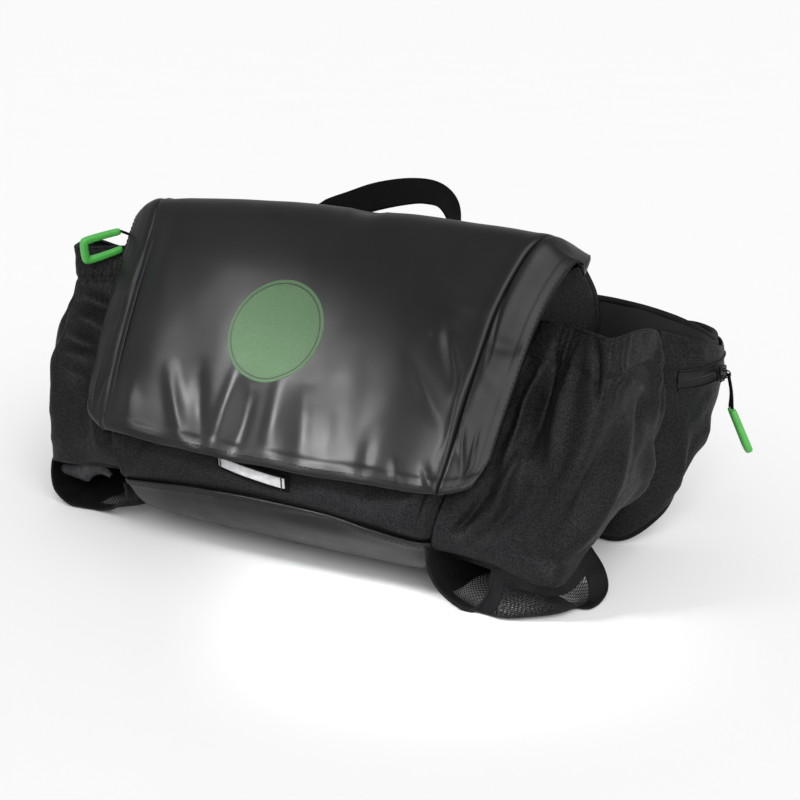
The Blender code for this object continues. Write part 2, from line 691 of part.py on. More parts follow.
def make_sling(side, sign):
    rings = [
        [sling_point(run, share, side) for share in shares(SLING_COLUMNS)]
        for run in (0.0, 0.1, 0.2, 0.35, 0.5, 0.65, 0.8, 0.9, 1.0)
    ]
    loft("pocket_sling_" + side, rings, mesh_black, wall=SLING_WALL, outwards=True, flip=sign < 0)
    for end, run, step, off in (("front", 0.0, -1, SLING_WALL / 3), ("rear", 1.0, 1, 0.0)):
        points = []
        for share in [0.03] + shares(SLING_COLUMNS)[1:-1] + [0.97]:
            edge = sling_point(run, share, side)
            away = edge - sling_point(run - 0.03 * step, share, side)
            along = sling_point(run, share + 0.02, side) - sling_point(run, share - 0.02, side)
            away -= along * (away.dot(along) / along.length_squared)
            point = edge + away.normalized() * (SLING_BINDING_RADIUS + GAP + off)
            point.z = max(point.z, SLING_BINDING_RADIUS + GAP)
            points.append(point)
        tube(f"sling_binding_{end}_{side}", points, SLING_BINDING_RADIUS, binding)


def make_back_pad():
    """A padded panel with a shallow channel down its middle, flat against the bag."""
    front_y = BACK_REACH + GAP
    columns = (-1, -0.97, -0.85, -0.5, -0.16, 0, 0.16, 0.5, 0.85, 0.97, 1)
    fulls = (0.15, 0.7, 1, 1, 0.85, 0.35, 0.85, 1, 1, 0.7, 0.15)
    rings = []
    for share, full_z in zip((0, 0.03, 0.15, 0.4, 0.7, 0.85, 0.97, 1), (0.15, 0.7, 1, 1, 1, 1, 0.7, 0.15)):
        z = BACK_PAD_LOW + (BACK_PAD_HIGH - BACK_PAD_LOW) * share
        back = []
        for column, full in zip(columns, fulls):
            depth = BACK_PAD_THICKNESS * min(full, full_z)
            back.append(Vector((column * BACK_PAD_HALF_WIDTH, front_y + depth, z)))
        front = [Vector((p.x, front_y, z)) for p in reversed(back)]
        rings.append(back + front)
    loft("back_pad", rings, padded, closed=True, caps=True)


def make_handle():
    route = (
        (-0.066, 0.0508, 0.1670),
        (-0.065, 0.0522, 0.1800),
        (-0.058, 0.0570, 0.1935),
        (-0.042, 0.0605, 0.2060),
        (-0.018, 0.0610, 0.2165),
        (0.008, 0.0610, 0.2215),
        (0.032, 0.0610, 0.2190),
        (0.047, 0.0605, 0.2080),
        (0.051, 0.0570, 0.1945),
        (0.052, 0.0522, 0.1800),
        (0.052, 0.0508, 0.1670),
    )
    centres = smooth_path(route, 23)
    axes = []
    for i, centre in enumerate(centres):
        ahead = centres[min(i + 1, len(centres) - 1)] - centres[max(i - 1, 0)]
        turn = min(max((centre.z - HANDLE_TWIST_LOW) / (HANDLE_TWIST_HIGH - HANDLE_TWIST_LOW), 0), 1)
        angle = math.pi / 2 * turn * turn * (3 - 2 * turn)
        half = math.copysign(1, centre.x)
        flat = Vector((math.cos(angle), half * math.sin(angle), 0))
        axes.append((flat - ahead * (flat.dot(ahead) / ahead.length_squared)) * half)
    return strap("grab_handle", centres, axes, HANDLE_WIDTH, HANDLE_THICKNESS, webbing)


def make_belt(side, sign):
    tip = wing_face(1.0, 0, sign)
    inner_tip = wing_face(1.0, 0, sign, side=-1)
    middle = (tip + inner_tip) / 2
    route = []
    buckle_end = BUCKLE_SIZE[0] / 2 + GAP
    start_x = abs(middle.x) - 0.0006
    for share in shares(9):
        x = start_x + (buckle_end - start_x) * share
        y = middle.y + 0.0002 + (BELT_BACK - middle.y) * math.sin(math.pi / 2 * share)
        route.append(Vector((sign * x, y, BELT_HEIGHT)))
    up = [Vector((0, 0, 1))] * len(route)
    strap("belt_" + side, route, up, BELT_WIDTH, BELT_THICKNESS, webbing)


def make_grip(name, top, down, across):
    """A U-shaped grip: two arms down from its top, joined at the low end. Returns the arms' ends."""
    down = down.normalized() * GRIP_LENGTH
    across = (across - down * (across.dot(down) / down.length_squared)).normalized() * GRIP_WIDTH / 2
    points = [top + across * row.across + down * row.down for row in GRIP_ROWS]
    tube(name, points, GRIP_RADIUS, grip_green)
    away = down.normalized() * (GAP + CORD_RADIUS * 0.4)
    return points[0] - away, points[-1] - away


def make_cord(name, ring, drop, arms):
    """One cord from a grip's arm, through the slider's ring and back to the other arm."""
    spread = (arms[1] - arms[0]).normalized() * CORD_RADIUS * 1.3
    low = ring + drop
    route = [arms[0], low - spread * 1.4, ring - spread, ring, ring + spread, low + spread * 1.4, arms[1]]
    tube(name, smooth_path(route, 13), CORD_RADIUS, webbing)


parts = bpy.data.collections.new("Bum_bag")


def main():
    for obj in list(bpy.data.objects):
        bpy.data.objects.remove(obj)
    bpy.context.scene.collection.children.link(parts)
    make_base()
    make_main_bag()
    make_back_pad()
    make_flap()
    make_badge()
    make_light_loop()
    make_handle()
    for side, sign in SIDES.items():
        make_pocket(side, sign)
        make_sling(side, sign)
        make_wing(side, sign)
        make_wing_pocket(side, sign)
        make_zip(side, sign)
        make_wing_slider(side, sign)
        make_belt(side, sign)
    make_body_slider()
    buckle_centre = Vector((0, BELT_BACK, BELT_HEIGHT))
    box_object("belt_buckle", buckle_centre, Vector((1, 0, 0)), BUCKLE_SIZE, plastic, 0.003)


coated = new_material("coated_cloth", (0.03, 0.03, 0.032), 0.5)
textured = new_material("textured_nylon", (0.025, 0.025, 0.028), 0.8)
padded = new_material("smooth_cloth", (0.022, 0.022, 0.023), 0.85)
mesh_black = new_material("mesh", (0.02, 0.02, 0.021), 0.85)
binding = new_material("binding_tape", (0.018, 0.018, 0.019), 0.8)
webbing = new_material("webbing", (0.012, 0.012, 0.013), 0.75)
badge_green = new_material("badge_green", (0.10, 0.18, 0.10), 0.45)
reflective = new_material("reflective_tape", (0.55, 0.56, 0.56), 0.35)
zip_black = new_material("zip_tape", (0.012, 0.012, 0.013), 0.7)
metal_black = new_material("slider_metal", (0.02, 0.02, 0.02), 0.4, 0.8)
plastic = new_material("buckle_plastic", (0.015, 0.015, 0.015), 0.45)
grip_green = new_material("grip_green", (0.06, 0.42, 0.06), 0.5)

main()
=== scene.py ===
"""The dressed bum bag: cloth, seams, stitches, net, webbing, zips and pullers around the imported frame,
with a pale floor, soft light and a camera.

Sizes are in metres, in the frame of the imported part: +X is the viewer's right from the front, -Y is
the front with the flap, +Z is up, and the origin is on the floor.
"""

import math
from collections import namedtuple

import bmesh
import bpy
import numpy as np
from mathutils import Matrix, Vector, noise


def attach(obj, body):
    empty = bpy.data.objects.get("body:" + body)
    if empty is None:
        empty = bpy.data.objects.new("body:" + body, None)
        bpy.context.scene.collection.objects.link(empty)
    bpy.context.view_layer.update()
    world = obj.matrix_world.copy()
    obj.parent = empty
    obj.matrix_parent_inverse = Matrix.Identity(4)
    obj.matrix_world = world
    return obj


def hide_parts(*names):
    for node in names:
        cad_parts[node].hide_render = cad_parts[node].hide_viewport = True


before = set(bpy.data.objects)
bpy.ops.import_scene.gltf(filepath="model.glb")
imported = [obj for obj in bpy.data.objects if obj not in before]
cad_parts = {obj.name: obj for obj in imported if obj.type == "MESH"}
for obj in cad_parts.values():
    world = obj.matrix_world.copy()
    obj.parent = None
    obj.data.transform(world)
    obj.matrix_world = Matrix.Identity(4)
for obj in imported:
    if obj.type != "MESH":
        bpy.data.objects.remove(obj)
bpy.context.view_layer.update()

# Main bag
FRONT_REACH = 0.101
BACK_REACH = 0.045
FRONT_HALF_WIDTH = 0.138
BACK_HALF_WIDTH = 0.163
BAG_HEIGHT = 0.183
BAG_WALL = 0.0016
FRONT_BOW = 0.003

# Coated base, and how many points of the bag's half outline are on its front
BASE_WALL = 0.0016
BASE_SEAM_HEIGHT = 0.040
BASE_SEAM_RISE = 0.010
BASE_OVERLAP = 0.007
FRONT_POINTS = 7
FLOOR_LIFT = 0.0003
BASE_FLOOR_LEVELS = (0.03, 0.25, 0.5, 0.75, 0.92)
BASE_STITCH_ROW = 0.955
FRINGE_HEIGHT = 0.0006

# Clearance between pieces that are sewn or laid on each other, and where their curves differ
GAP = 0.0004
CURVE_GAP = 0.0006

# Flap
FLAP_HEIGHT = 0.2065
FLAP_REACH = 0.102
FLAP_HALF_WIDTH = 0.145
FLAP_EDGE_HALF_WIDTH = 0.170
FLAP_CROWN = 0.006
FLAP_EDGE_SET_BACK = 0.009
FLAP_SHIFT = 0.009
FLAP_WALL = 0.0016
GATHER_DEPTH = 0.0016
GATHER_PITCH = 0.058
HEM_DROP = 0.005
HEM_RISE = 0.07

# Badge and light loop
BADGE_RADIUS = 0.0338
BADGE_X = -0.0134
BADGE_RUN = 0.675
LOOP_LENGTH = 0.054
LOOP_WIDTH = 0.0085
LOOP_X = -0.006
LOOP_HEIGHT = 0.0665
LOOP_TILT = 0.006
LOOP_STAND_OFF = 0.0024
LOOP_WALL = 0.0006

# Bottle pockets
POCKET_SPAN = 0.200
POCKET_REACH = 0.080
POCKET_HEIGHT = 0.163
POCKET_FLOOR = 0.025
POCKET_WALL = 0.0018

# Mesh slings under the pockets
SLING_BINDING_RADIUS = 0.0014
SLING_TAPE_RADIUS = 0.0012
SLING_BAND_LIFT = 0.0004
SLING_BAND_WALL = 0.0008
NET_GRID = (56, 98)
BAND_GRID = (61, 121)

# Back panel, wings and their pockets
BACK_PAD_HALF_WIDTH = 0.1175
BACK_PAD_THICKNESS = 0.012
BACK_PAD_LOW = 0.014
BACK_PAD_HIGH = 0.166
BACK_PAD_CHANNEL = 0.013
BACK_PAD_SEAMS = (0.34, 0.67)
WING_SPAN = 0.219
WING_BACK = 0.174
WING_HEIGHT = 0.160
WING_THICKNESS = 0.011
WING_ROOT_END = 0.45
WING_POCKET_WALL = 0.0014
WING_POCKET_BULGE = 0.004
WING_POCKET_LOW = -0.82
WING_POCKET_RISE = 1.64
WING_POCKET_REACH = (0.33, 0.45)
ZIP_WIDTH = 0.010
ZIP_THICKNESS = 0.0012
ZIP_HEIGHT = 0.112
ZIP_TAPE_WALL = 0.0006
ZIP_GROOVE = 0.0010
SLIDER_SIZE = (0.0055, 0.009, 0.011)
SLIDER_RUN = 0.5
SLIDER_LEAN = 0.0008
PLATE_THICKNESS = 0.0013
PLATE_DEPTHS = {"lower": 0.0009, "upper": 0.0030}
PLATE_BEVEL = 0.0004
SLIDER_RING_RADIUS = 0.0024
SLIDER_WIRE_RADIUS = 0.00045
SLIDER_BRIDGE_RADIUS = 0.0006
BODY_SLIDER_Y = 0.006
BODY_SLIDER_HEIGHT = 0.168
BODY_GRIP_TOP = Vector((-0.1666, -0.0188, 0.1800))

# Webbing
HANDLE_WIDTH = 0.024
HANDLE_THICKNESS = 0.0022
HANDLE_TWIST_LOW = 0.178
HANDLE_TWIST_HIGH = 0.196
BELT_WIDTH = 0.030
BELT_THICKNESS = 0.0018
BELT_HEIGHT = 0.1015
BELT_BACK = 0.181
BUCKLE_SIZE = (0.064, 0.011, 0.040)

# Pullers
CORD_RADIUS = 0.0010
GRIP_RADIUS = 0.0021
GRIP_LENGTH = 0.027
GRIP_WIDTH = 0.0150

# Angles of a cord's turn round a slider's ring
RING_TURN = (0, 0.8, 1.571, 2.342, math.pi)

# Outline of the main bag at each height: heights, reaches and half widths are shares of the sizes
# above, and the corner is a share of the front reach.
BagRow = namedtuple("BagRow", "height front back half_front half_back corner")
BAG_ROWS = (
    BagRow(0.000, 0.42, 0.88, 0.730, 0.66, 0.16),
    BagRow(0.025, 0.55, 0.93, 0.760, 0.69, 0.15),
    BagRow(0.055, 0.69, 0.97, 0.785, 0.73, 0.14),
    BagRow(0.110, 0.85, 0.99, 0.797, 0.775, 0.13),
    BagRow(0.175, 0.945, 1.00, 0.805, 0.81, 0.12),
    BagRow(0.250, 1.00, 1.00, 0.815, 0.84, 0.12),
    BagRow(0.355, 0.972, 1.00, 0.838, 0.868, 0.12),
    BagRow(0.490, 0.850, 1.00, 0.870, 0.915, 0.14),
    BagRow(0.655, 0.622, 1.00, 0.910, 0.957, 0.14),
    BagRow(0.790, 0.415, 1.00, 0.950, 1.000, 0.12),
    BagRow(0.900, 0.255, 1.00, 0.980, 0.975, 0.10),
    BagRow(1.000, 0.110, 0.98, 1.000, 0.920, 0.10),
)

# The flap along its run, from its seam on the back to its front edge. Reach and height are the
# inner face of its middle; shift is how far the cloth has slumped to one side.
FlapRow = namedtuple("FlapRow", "run reach height half edge set_back crown shift")
FLAP_ROWS = (
    FlapRow(0.00, -0.458, 0.832, 0.985, 0.865, 0.00, 0.0, 0.0),
    FlapRow(0.06, -0.456, 0.878, 0.990, 0.870, 0.05, 0.0, 0.1),
    FlapRow(0.13, -0.405, 0.922, 0.995, 0.905, 0.40, 0.3, 0.2),
    FlapRow(0.22, -0.262, 0.958, 0.990, 0.950, 1.00, 0.7, 0.2),
    FlapRow(0.33, -0.060, 0.994, 0.990, 0.982, 2.25, 1.0, 0.25),
    FlapRow(0.38, 0.045, 0.990, 0.966, 0.972, 1.60, 1.0, 0.25),
    FlapRow(0.44, 0.140, 0.940, 0.935, 0.947, 1.00, 1.0, 0.4),
    FlapRow(0.55, 0.330, 0.820, 0.902, 0.917, 0.90, 1.0, 0.65),
    FlapRow(0.70, 0.570, 0.650, 0.882, 0.893, 0.90, 1.0, 0.65),
    FlapRow(0.85, 0.800, 0.488, 0.860, 0.868, 0.95, 0.9, 0.45),
    FlapRow(1.00, 0.995, 0.366, 0.830, 0.850, 1.00, 0.9, 0.0),
)

# Bottle pocket at each height: where its outer corner and its side stand, and where its two ends
# meet the bag and the wing.
PocketRow = namedtuple("PocketRow", "height corner_x corner_y side_x side_y end_x root dent")
POCKET_ROWS = (
    PocketRow(0.15, 0.930, 1.000, 0.890, 0.10, 0.800, 0.00, 0.00),
    PocketRow(0.34, 0.965, 0.915, 1.005, -0.05, 0.900, 0.02, 0.00),
    PocketRow(0.49, 0.980, 0.870, 1.035, -0.12, 0.945, 0.08, 0.03),
    PocketRow(0.64, 0.985, 0.800, 1.035, -0.15, 0.960, 0.14, 0.06),
    PocketRow(0.76, 0.980, 0.650, 1.020, -0.15, 0.960, 0.16, 0.06),
    PocketRow(0.89, 0.975, 0.500, 1.025, -0.15, 0.955, 0.18, 0.05),
    PocketRow(1.02, 0.980, 0.380, 1.030, -0.15, 0.950, 0.20, 0.03),
)

# The pocket's rim and floor along its wall, from the bag to the wing.
RimRow = namedtuple("RimRow", "run rim floor")
RIM_ROWS = (
    RimRow(0.00, 0.990, 1.50),
    RimRow(0.20, 0.992, 1.32),
    RimRow(0.42, 0.995, 1.00),
    RimRow(0.70, 0.980, 0.95),
    RimRow(1.00, 0.825, 0.95),
)

# The slings as they hang: millimetres outwards, back and up. Each loop goes from the bag down, round
# and up to the pocket's foot, and the loops go from the front rim to the rear one.
SLING_LOOPS = {
    "right": (
        ((111.3, -95, 37), (112.5, -95, 26), (117, -94, 16), (124, -91, 7.5), (132, -88, 2.2),
         (140, -87.5, 2.8), (145.8, -85.5, 11.4), (147, -83, 18.9), (147.2, -80, 29.5)),
        ((109.5, -68, 35), (110, -68, 22), (114, -68, 10), (124, -70, 2.5), (140, -76, 1.5), (157, -87, 1.5),
         (163, -86.5, 6), (165, -85.5, 15), (165, -83, 28)),
        ((108.5, -40, 32), (110, -40, 18), (116, -42, 8), (128, -46, 1.8), (150, -54, 1.5), (172, -69, 1.5),
         (183, -70, 3), (188, -72, 12), (187, -74, 25)),
        ((108, -8, 30), (110, -8, 18), (118, -12, 8), (132, -20, 2), (155, -36, 1.5), (180, -52, 1.5),
         (194, -53, 1.5), (198, -41, 2.5), (198.5, -33, 8), (193.5, -28, 17), (184, -25, 27)),
    ),
    "left": (
        ((111.5, -94, 37), (113.6, -90, 29.6), (117.8, -86, 23), (128.3, -80, 15), (141, -75, 6.5),
         (157, -71.8, 1.6), (168, -73, 1.5), (180.6, -74, 2.5), (192.3, -73, 9), (196, -72, 18.4),
         (194.5, -72, 30), (191, -72, 37)),
        ((110, -62, 40), (111, -60, 28), (115, -58, 17), (126, -56, 7), (142, -54, 2), (158, -52, 1.5),
         (172, -52, 1.5), (186, -52, 3), (196, -51, 10), (199, -50, 20), (198, -50, 30), (195, -50, 38)),
        ((109.5, -36, 40), (110.5, -34, 30), (114, -32, 21), (124, -30, 12), (140, -28, 5), (156, -26, 2.5),
         (170, -26, 2.5), (185, -27, 5), (196, -28, 12), (200, -28, 21), (199.5, -28, 30), (197, -28, 38)),
        ((109, -10, 40), (110, -10, 34), (114, -8, 29), (124, -6, 25), (140, -4, 22), (156, -2, 20),
         (170, -2, 20), (184, -4, 21), (194, -6, 24), (198, -8, 28), (199, -8, 33), (197, -8, 38)),
    ),
}
# The folded strip of net inside the left sling: its low edge and its high edge
NET_STRIP = (
    ((-195, -60, 17), (-184, -60, 16), (-175, -60, 15.3), (-170, -60, 20), (-162.7, -60, 23),
     (-153.5, -60, 22.5)),
    ((-198, -60, 23.5), (-184, -60, 25.5), (-171, -60, 31), (-162, -60, 31.5), (-157, -60, 28),
     (-152.4, -60, 24)),
)
# The parts of a sling that are solid cloth, by their shares of its run and of its loops
Solid = namedtuple("Solid", "name run run_end share share_end")
SLING_SOLIDS = {
    "right": (
        Solid("band_front", 0.0, 0.15, 0.0, 1.0),
        Solid("band_rear", 0.88, 1.0, 0.0, 1.0),
        # The lining is solid dark cloth over the inner wall: the wall is real, its solid darkness is partly
        # painted shade
        Solid("lining", 0.15, 0.88, 0.0, 0.34),
        Solid("foot", 0.15, 0.88, 0.94, 1.0),
    ),
    "left": (
        Solid("band_front", 0.0, 0.17, 0.42, 1.0),
        Solid("band_inner", 0.0, 0.05, 0.0, 0.42),
        Solid("lining", 0.17, 0.6, 0.50, 1.0),
        Solid("band_rear", 0.6, 1.0, 0.0, 1.0),
    ),
}

# How much higher than its solid each pocket's rim and foot stand
RIM_LIFTS = {"left": 0.012, "right": -0.003}
FOOT_LIFTS = {"left": 0.011, "right": 0.0}

# The wing from its root beside the back pad to its tip behind the wearer.
WingRow = namedtuple("WingRow", "run x y low high thick lean")
WING_ROWS = (
    WingRow(0.00, 0.541, 0.2960, 0.020, 0.985, 1.00, 0.0),
    WingRow(0.12, 0.685, 0.2970, 0.020, 1.005, 1.00, 0.0),
    WingRow(0.24, 0.813, 0.3220, 0.025, 0.985, 1.00, -0.9),
    WingRow(0.34, 0.909, 0.3680, 0.120, 0.945, 0.95, -0.1),
    WingRow(0.43, 0.963, 0.4370, 0.225, 0.895, 0.92, 0.8),
    WingRow(0.50, 0.985, 0.5230, 0.310, 0.845, 0.88, 1.0),
    WingRow(0.57, 0.985, 0.6090, 0.375, 0.812, 0.85, 1.0),
    WingRow(0.66, 0.966, 0.7130, 0.425, 0.795, 0.80, 0.9),
    WingRow(0.76, 0.932, 0.8160, 0.462, 0.782, 0.74, 0.7),
    WingRow(0.86, 0.863, 0.9020, 0.493, 0.775, 0.68, 0.4),
    WingRow(0.94, 0.781, 0.9650, 0.512, 0.757, 0.62, 0.2),
    WingRow(1.00, 0.708, 1.0000, 0.525, 0.744, 0.55, 0.0),
)
WING_LEAN = 0.009

# How far along a row table to look for its slope
SLOPE_STEP = 0.01

# A grip's centre line: how far across and how far down it stands at each point.
GripRow = namedtuple("GripRow", "across down")
GRIP_ROWS = (
    GripRow(-0.90, 0.00),
    GripRow(-0.97, 0.34),
    GripRow(-1.00, 0.68),
    GripRow(-0.96, 0.93),
    GripRow(-0.70, 1.00),
    GripRow(0.70, 1.00),
    GripRow(0.96, 0.93),
    GripRow(1.00, 0.68),
    GripRow(0.97, 0.34),
    GripRow(0.90, 0.00),
)

SIDES = {"left": -1, "right": 1}

# Looks: how far details stand out, and the sizes of stitches, tapes and folds
MM = 0.001
SEAM_DIPS = {-1: 0.00035, 1: 0.0014}
SEAM_WIDTH = 0.0010
SEAM_SHOULDER = 0.0045
SEAM_SHOULDER_WIDTH = 0.003
HEM_STEP = 0.0006
HEM_WIDTH = 0.009
HEM_TURN = 0.0008
STRIP_HEM_TURN = 0.0012
STITCH_PITCH = 0.0034
STITCH_LENGTH = 0.0024
STITCH_RADIUS = 0.00032
STITCH_LIFT = 0.0001
WING_PIPING_RADIUS = 0.0021
PAD_PIPING_RADIUS = 0.0017
POCKET_ROLL_RADIUS = 0.0014
WELT_RADIUS = 0.0009
PRINT_LIFT = 0.0003
RING_SHARE = 0.925
RING_WIDTH = 0.0009
CASING_SHARE = 0.85
CASING_SEAM_DIP = 0.0012
CASING_FULLNESS = 0.0012
NET_STRAND = 0.00058
RIB_DEPTH = 0.00016

# Folds: a straight ridge, or a furrow where the depth is negative, from one place on a piece's
# surface to another. Places are the run and the share across, widths and depths are millimetres.
Fold = namedtuple("Fold", "run across run_end across_end width depth")
FLAP_FOLDS = (
    Fold(0.80, -0.62, 0.97, -0.46, 6.0, 2.2),
    Fold(0.79, -0.44, 0.98, -0.33, 7.0, -2.0),
    Fold(0.77, -0.20, 0.98, -0.25, 6.0, 2.2),
    Fold(0.81, -0.10, 0.97, -0.12, 6.0, -1.8),
    Fold(0.77, 0.05, 0.96, 0.08, 7.0, 1.6),
    Fold(0.78, 0.19, 0.97, 0.25, 8.0, -1.8),
    Fold(0.72, 0.40, 0.94, 0.46, 12.0, 1.7),
    Fold(0.93, 0.75, 0.99, 0.80, 3.5, 1.2),
    Fold(0.93, 0.90, 0.99, 0.97, 3.0, 1.1),
    Fold(0.55, 0.60, 0.57, 0.93, 5.0, 1.3),
    Fold(0.61, 0.80, 0.73, 0.93, 3.5, -1.3),
    Fold(0.64, 0.76, 0.59, 0.82, 7.0, 1.0),
    Fold(0.69, 0.68, 0.81, 0.90, 5.0, -1.1),
    Fold(0.70, 0.96, 0.88, 0.99, 3.0, 1.0),
    Fold(0.36, 0.05, 0.33, 0.22, 14.0, -2.2),
    Fold(0.44, 0.00, 0.50, 0.06, 8.0, -0.6),
    Fold(0.40, -0.90, 0.62, -0.80, 9.0, 0.9),
    Fold(0.50, -0.95, 0.86, -0.97, 7.0, -1.1),
    Fold(0.26, -0.88, 0.34, -0.95, 7.0, -1.4),
    Fold(0.84, -0.86, 0.97, -0.80, 7.0, 1.2),
    Fold(0.88, 0.60, 0.98, 0.62, 5.0, -0.9),
)
STRIP_FOLDS = (
    Fold(0.50, 1.02, 0.66, 1.22, 4.0, -1.2),
    Fold(0.62, 1.00, 0.66, 1.80, 4.5, -1.1),
    Fold(0.68, 1.05, 0.74, 1.75, 7.0, 1.0),
    Fold(0.80, 1.08, 0.94, 1.45, 6.0, 1.1),
    Fold(0.84, 1.50, 0.97, 1.62, 5.0, -1.0),
    Fold(0.34, 1.20, 0.42, 1.85, 8.0, -1.2),
)
BODY_FOLDS = (
    Fold(0.10, 0.370, 0.34, 0.395, 5.0, 1.8),
    Fold(0.02, 0.352, 0.30, 0.354, 12.0, 4.0),
    Fold(0.06, 0.405, 0.28, 0.425, 6.0, -1.6),
    Fold(0.10, 0.455, 0.30, 0.440, 7.0, 1.2),
    Fold(0.02, 0.530, 0.30, 0.548, 7.0, 1.4),
    Fold(0.05, 0.560, 0.30, 0.572, 6.0, -1.6),
    Fold(0.02, 0.592, 0.28, 0.602, 6.0, 1.6),
    Fold(0.04, 0.620, 0.30, 0.622, 5.0, -1.2),
)
BASE_FOLDS = (
    Fold(0.92, 0.515, 0.98, 0.555, 3.0, -2.2),
    Fold(0.80, 0.50, 0.92, 0.60, 9.0, 1.2),
    Fold(0.60, 0.40, 0.85, 0.45, 16.0, 1.4),
)
RIGHT_POCKET_FOLDS = (
    Fold(0.18, 0.87, 0.23, 0.52, 6.0, -3.0),
    Fold(0.13, 0.80, 0.16, 0.45, 5.0, 1.8),
    Fold(0.28, 0.88, 0.32, 0.50, 6.0, 2.2),
    Fold(0.35, 0.98, 0.43, 0.80, 5.0, -1.8),
    Fold(0.47, 0.88, 0.69, 0.73, 5.0, 2.0),
    Fold(0.69, 0.73, 0.57, 0.37, 6.0, -1.8),
    Fold(0.63, 0.58, 0.47, 0.15, 8.0, 2.4),
    Fold(0.54, 0.62, 0.40, 0.25, 9.0, -2.2),
    Fold(0.42, 0.60, 0.33, 0.18, 8.0, 2.0),
    Fold(0.21, 0.50, 0.19, 0.25, 6.0, 1.8),
    Fold(0.14, 0.30, 0.07, 0.07, 5.0, -1.8),
    Fold(0.26, 0.35, 0.18, 0.08, 7.0, -1.8),
    Fold(0.81, 0.98, 0.83, 0.66, 4.0, -2.4),
    Fold(0.76, 0.96, 0.74, 0.60, 6.0, 2.0),
    Fold(0.88, 0.95, 0.86, 0.40, 6.0, 1.8),
    Fold(0.70, 0.50, 0.80, 0.12, 8.0, 2.0),
    Fold(0.30, 0.12, 0.62, 0.05, 7.0, -1.4),
)
LEFT_POCKET_FOLDS = (
    Fold(0.45, 0.84, 0.45, 0.62, 6.0, -2.2),
    Fold(0.37, 0.78, 0.22, 0.70, 5.0, -2.0),
    Fold(0.40, 0.69, 0.25, 0.61, 5.0, 2.0),
    Fold(0.37, 0.60, 0.22, 0.51, 5.0, -2.0),
    Fold(0.40, 0.54, 0.28, 0.44, 6.0, 1.8),
    Fold(0.36, 0.50, 0.22, 0.33, 6.0, -1.8),
    Fold(0.22, 0.42, 0.14, 0.13, 7.0, 2.2),
    Fold(0.12, 0.50, 0.08, 0.15, 6.0, -2.0),
    Fold(0.50, 0.70, 0.60, 0.30, 9.0, 2.0),
    Fold(0.56, 0.55, 0.46, 0.15, 8.0, -1.8),
    Fold(0.74, 0.90, 0.72, 0.45, 6.0, 2.0),
    Fold(0.82, 0.95, 0.84, 0.50, 5.0, -2.0),
)
WING_FOLDS = (
    Fold(0.44, -0.30, 0.45, -0.93, 8.0, -2.6),
    Fold(0.39, -0.10, 0.40, -0.90, 8.0, 2.4),
    Fold(0.50, -0.35, 0.53, -0.92, 9.0, 2.2),
    Fold(0.58, -0.45, 0.57, -0.95, 8.0, -1.8),
    Fold(0.36, 0.80, 0.38, 0.45, 5.0, -1.5),
    Fold(0.42, 0.95, 0.44, 0.62, 6.0, 1.3),
    Fold(0.66, -0.40, 0.68, -0.95, 8.0, 1.6),
)

# How far the handle's webbing leans over, its rear edge up, along its length
Lean = namedtuple("Lean", "share degrees")
HANDLE_LEANS = (
    Lean(0.00, 54), Lean(0.35, 54), Lean(0.50, 48), Lean(0.64, 30), Lean(0.76, 2), Lean(0.88, -16),
    Lean(1.00, -16),
)

# Lengths of cloth, for placing folds: up and round the base and the body, along the flap, round a
# pocket's wall and along a wing
BASE_CLOTH = (0.07, 0.86)
BODY_CLOTH = (0.17, 0.88)
FLAP_LENGTH = 0.262
POCKET_LENGTH = 0.235
WING_CLOTH_LENGTH = 0.36

# How much stronger each piece's folds are than their tables say; the left strip's folds are those of
# the right one, turned from ridges to furrows
FLAP_FOLD_GAIN = 1.15
BODY_FOLD_GAIN = 1.5
POCKET_FOLD_GAIN = 2.7
WING_FOLD_GAIN = 1.3
LEFT_STRIP_FOLD_GAIN = -0.6

# The flap's side strips by sign of x: where they start across, how far under the middle panel they
# lie, and how sharply they bend back
STRIP_STARTS = {-1: 0.975, 1: 1.004}
STRIP_TUCKS = {-1: 0.00025, 1: 0}
STRIP_BENDS = {-1: 1.9, 1: 1.3}
STRIP_HEM_ACROSS = 1.915
STRIP_HEM_RUN = 0.985
FLAP_HEM_RUN = 0.984

# The wing pocket's cloth: its low and high edge across the wing, its end along it, the start and the
# length of its bulge, and the start and the end of its zip
WING_CLOTH_LOW = -0.955
WING_CLOTH_HIGH = 0.86
WING_CLOTH_END = 0.785
WING_CLOTH_REACH = (0.30, 0.48)
ZIP_START = 0.36
ZIP_END = 0.62

# Gathers of a pocket's casing
GATHERS = 19
GATHER_RELIEFS = {"left": 0.0005, "right": 0.0003}

# Rows and columns of the cloths' grids, and sides of tubes, stitches and grips
BAG_COLUMNS = 280
BASE_ROWS = 34
BODY_ROWS = 52
STRIP_COLUMNS = 30
POCKET_GRID = (170, 110)
WING_POCKET_GRID = (120, 90)
TUBE_SIDES = 10
STITCH_SIDES = 5
GRIP_SIDES = 16
GRIP_POINTS = 64

# Camera, as in the photograph
CAMERA_PLACE = (0.430, -0.718, 0.353)
CAMERA_AZIMUTH = 28.4
CAMERA_ELEVATION = 17.8
CAMERA_LENS = 59.4

# Floor, from its middle to its edges
FLOOR_REACH = 60

# Soft lights: a pale world, a wide sun through haze, and a small lamp that makes the flap shine
WORLD_STRENGTH = 0.55
SUN_FROM = (0.50, -0.62, 0.66)
SUN_STRENGTH = 2.36
SUN_ANGLE = 50
LAMP_PLACE = (-0.185, -0.32, 0.40)
LAMP_TARGET = (0.045, -0.104, 0.070)
LAMP_SIZE = (0.22, 0.08)
LAMP_SPREAD = 24
LAMP_POWER = 0.105


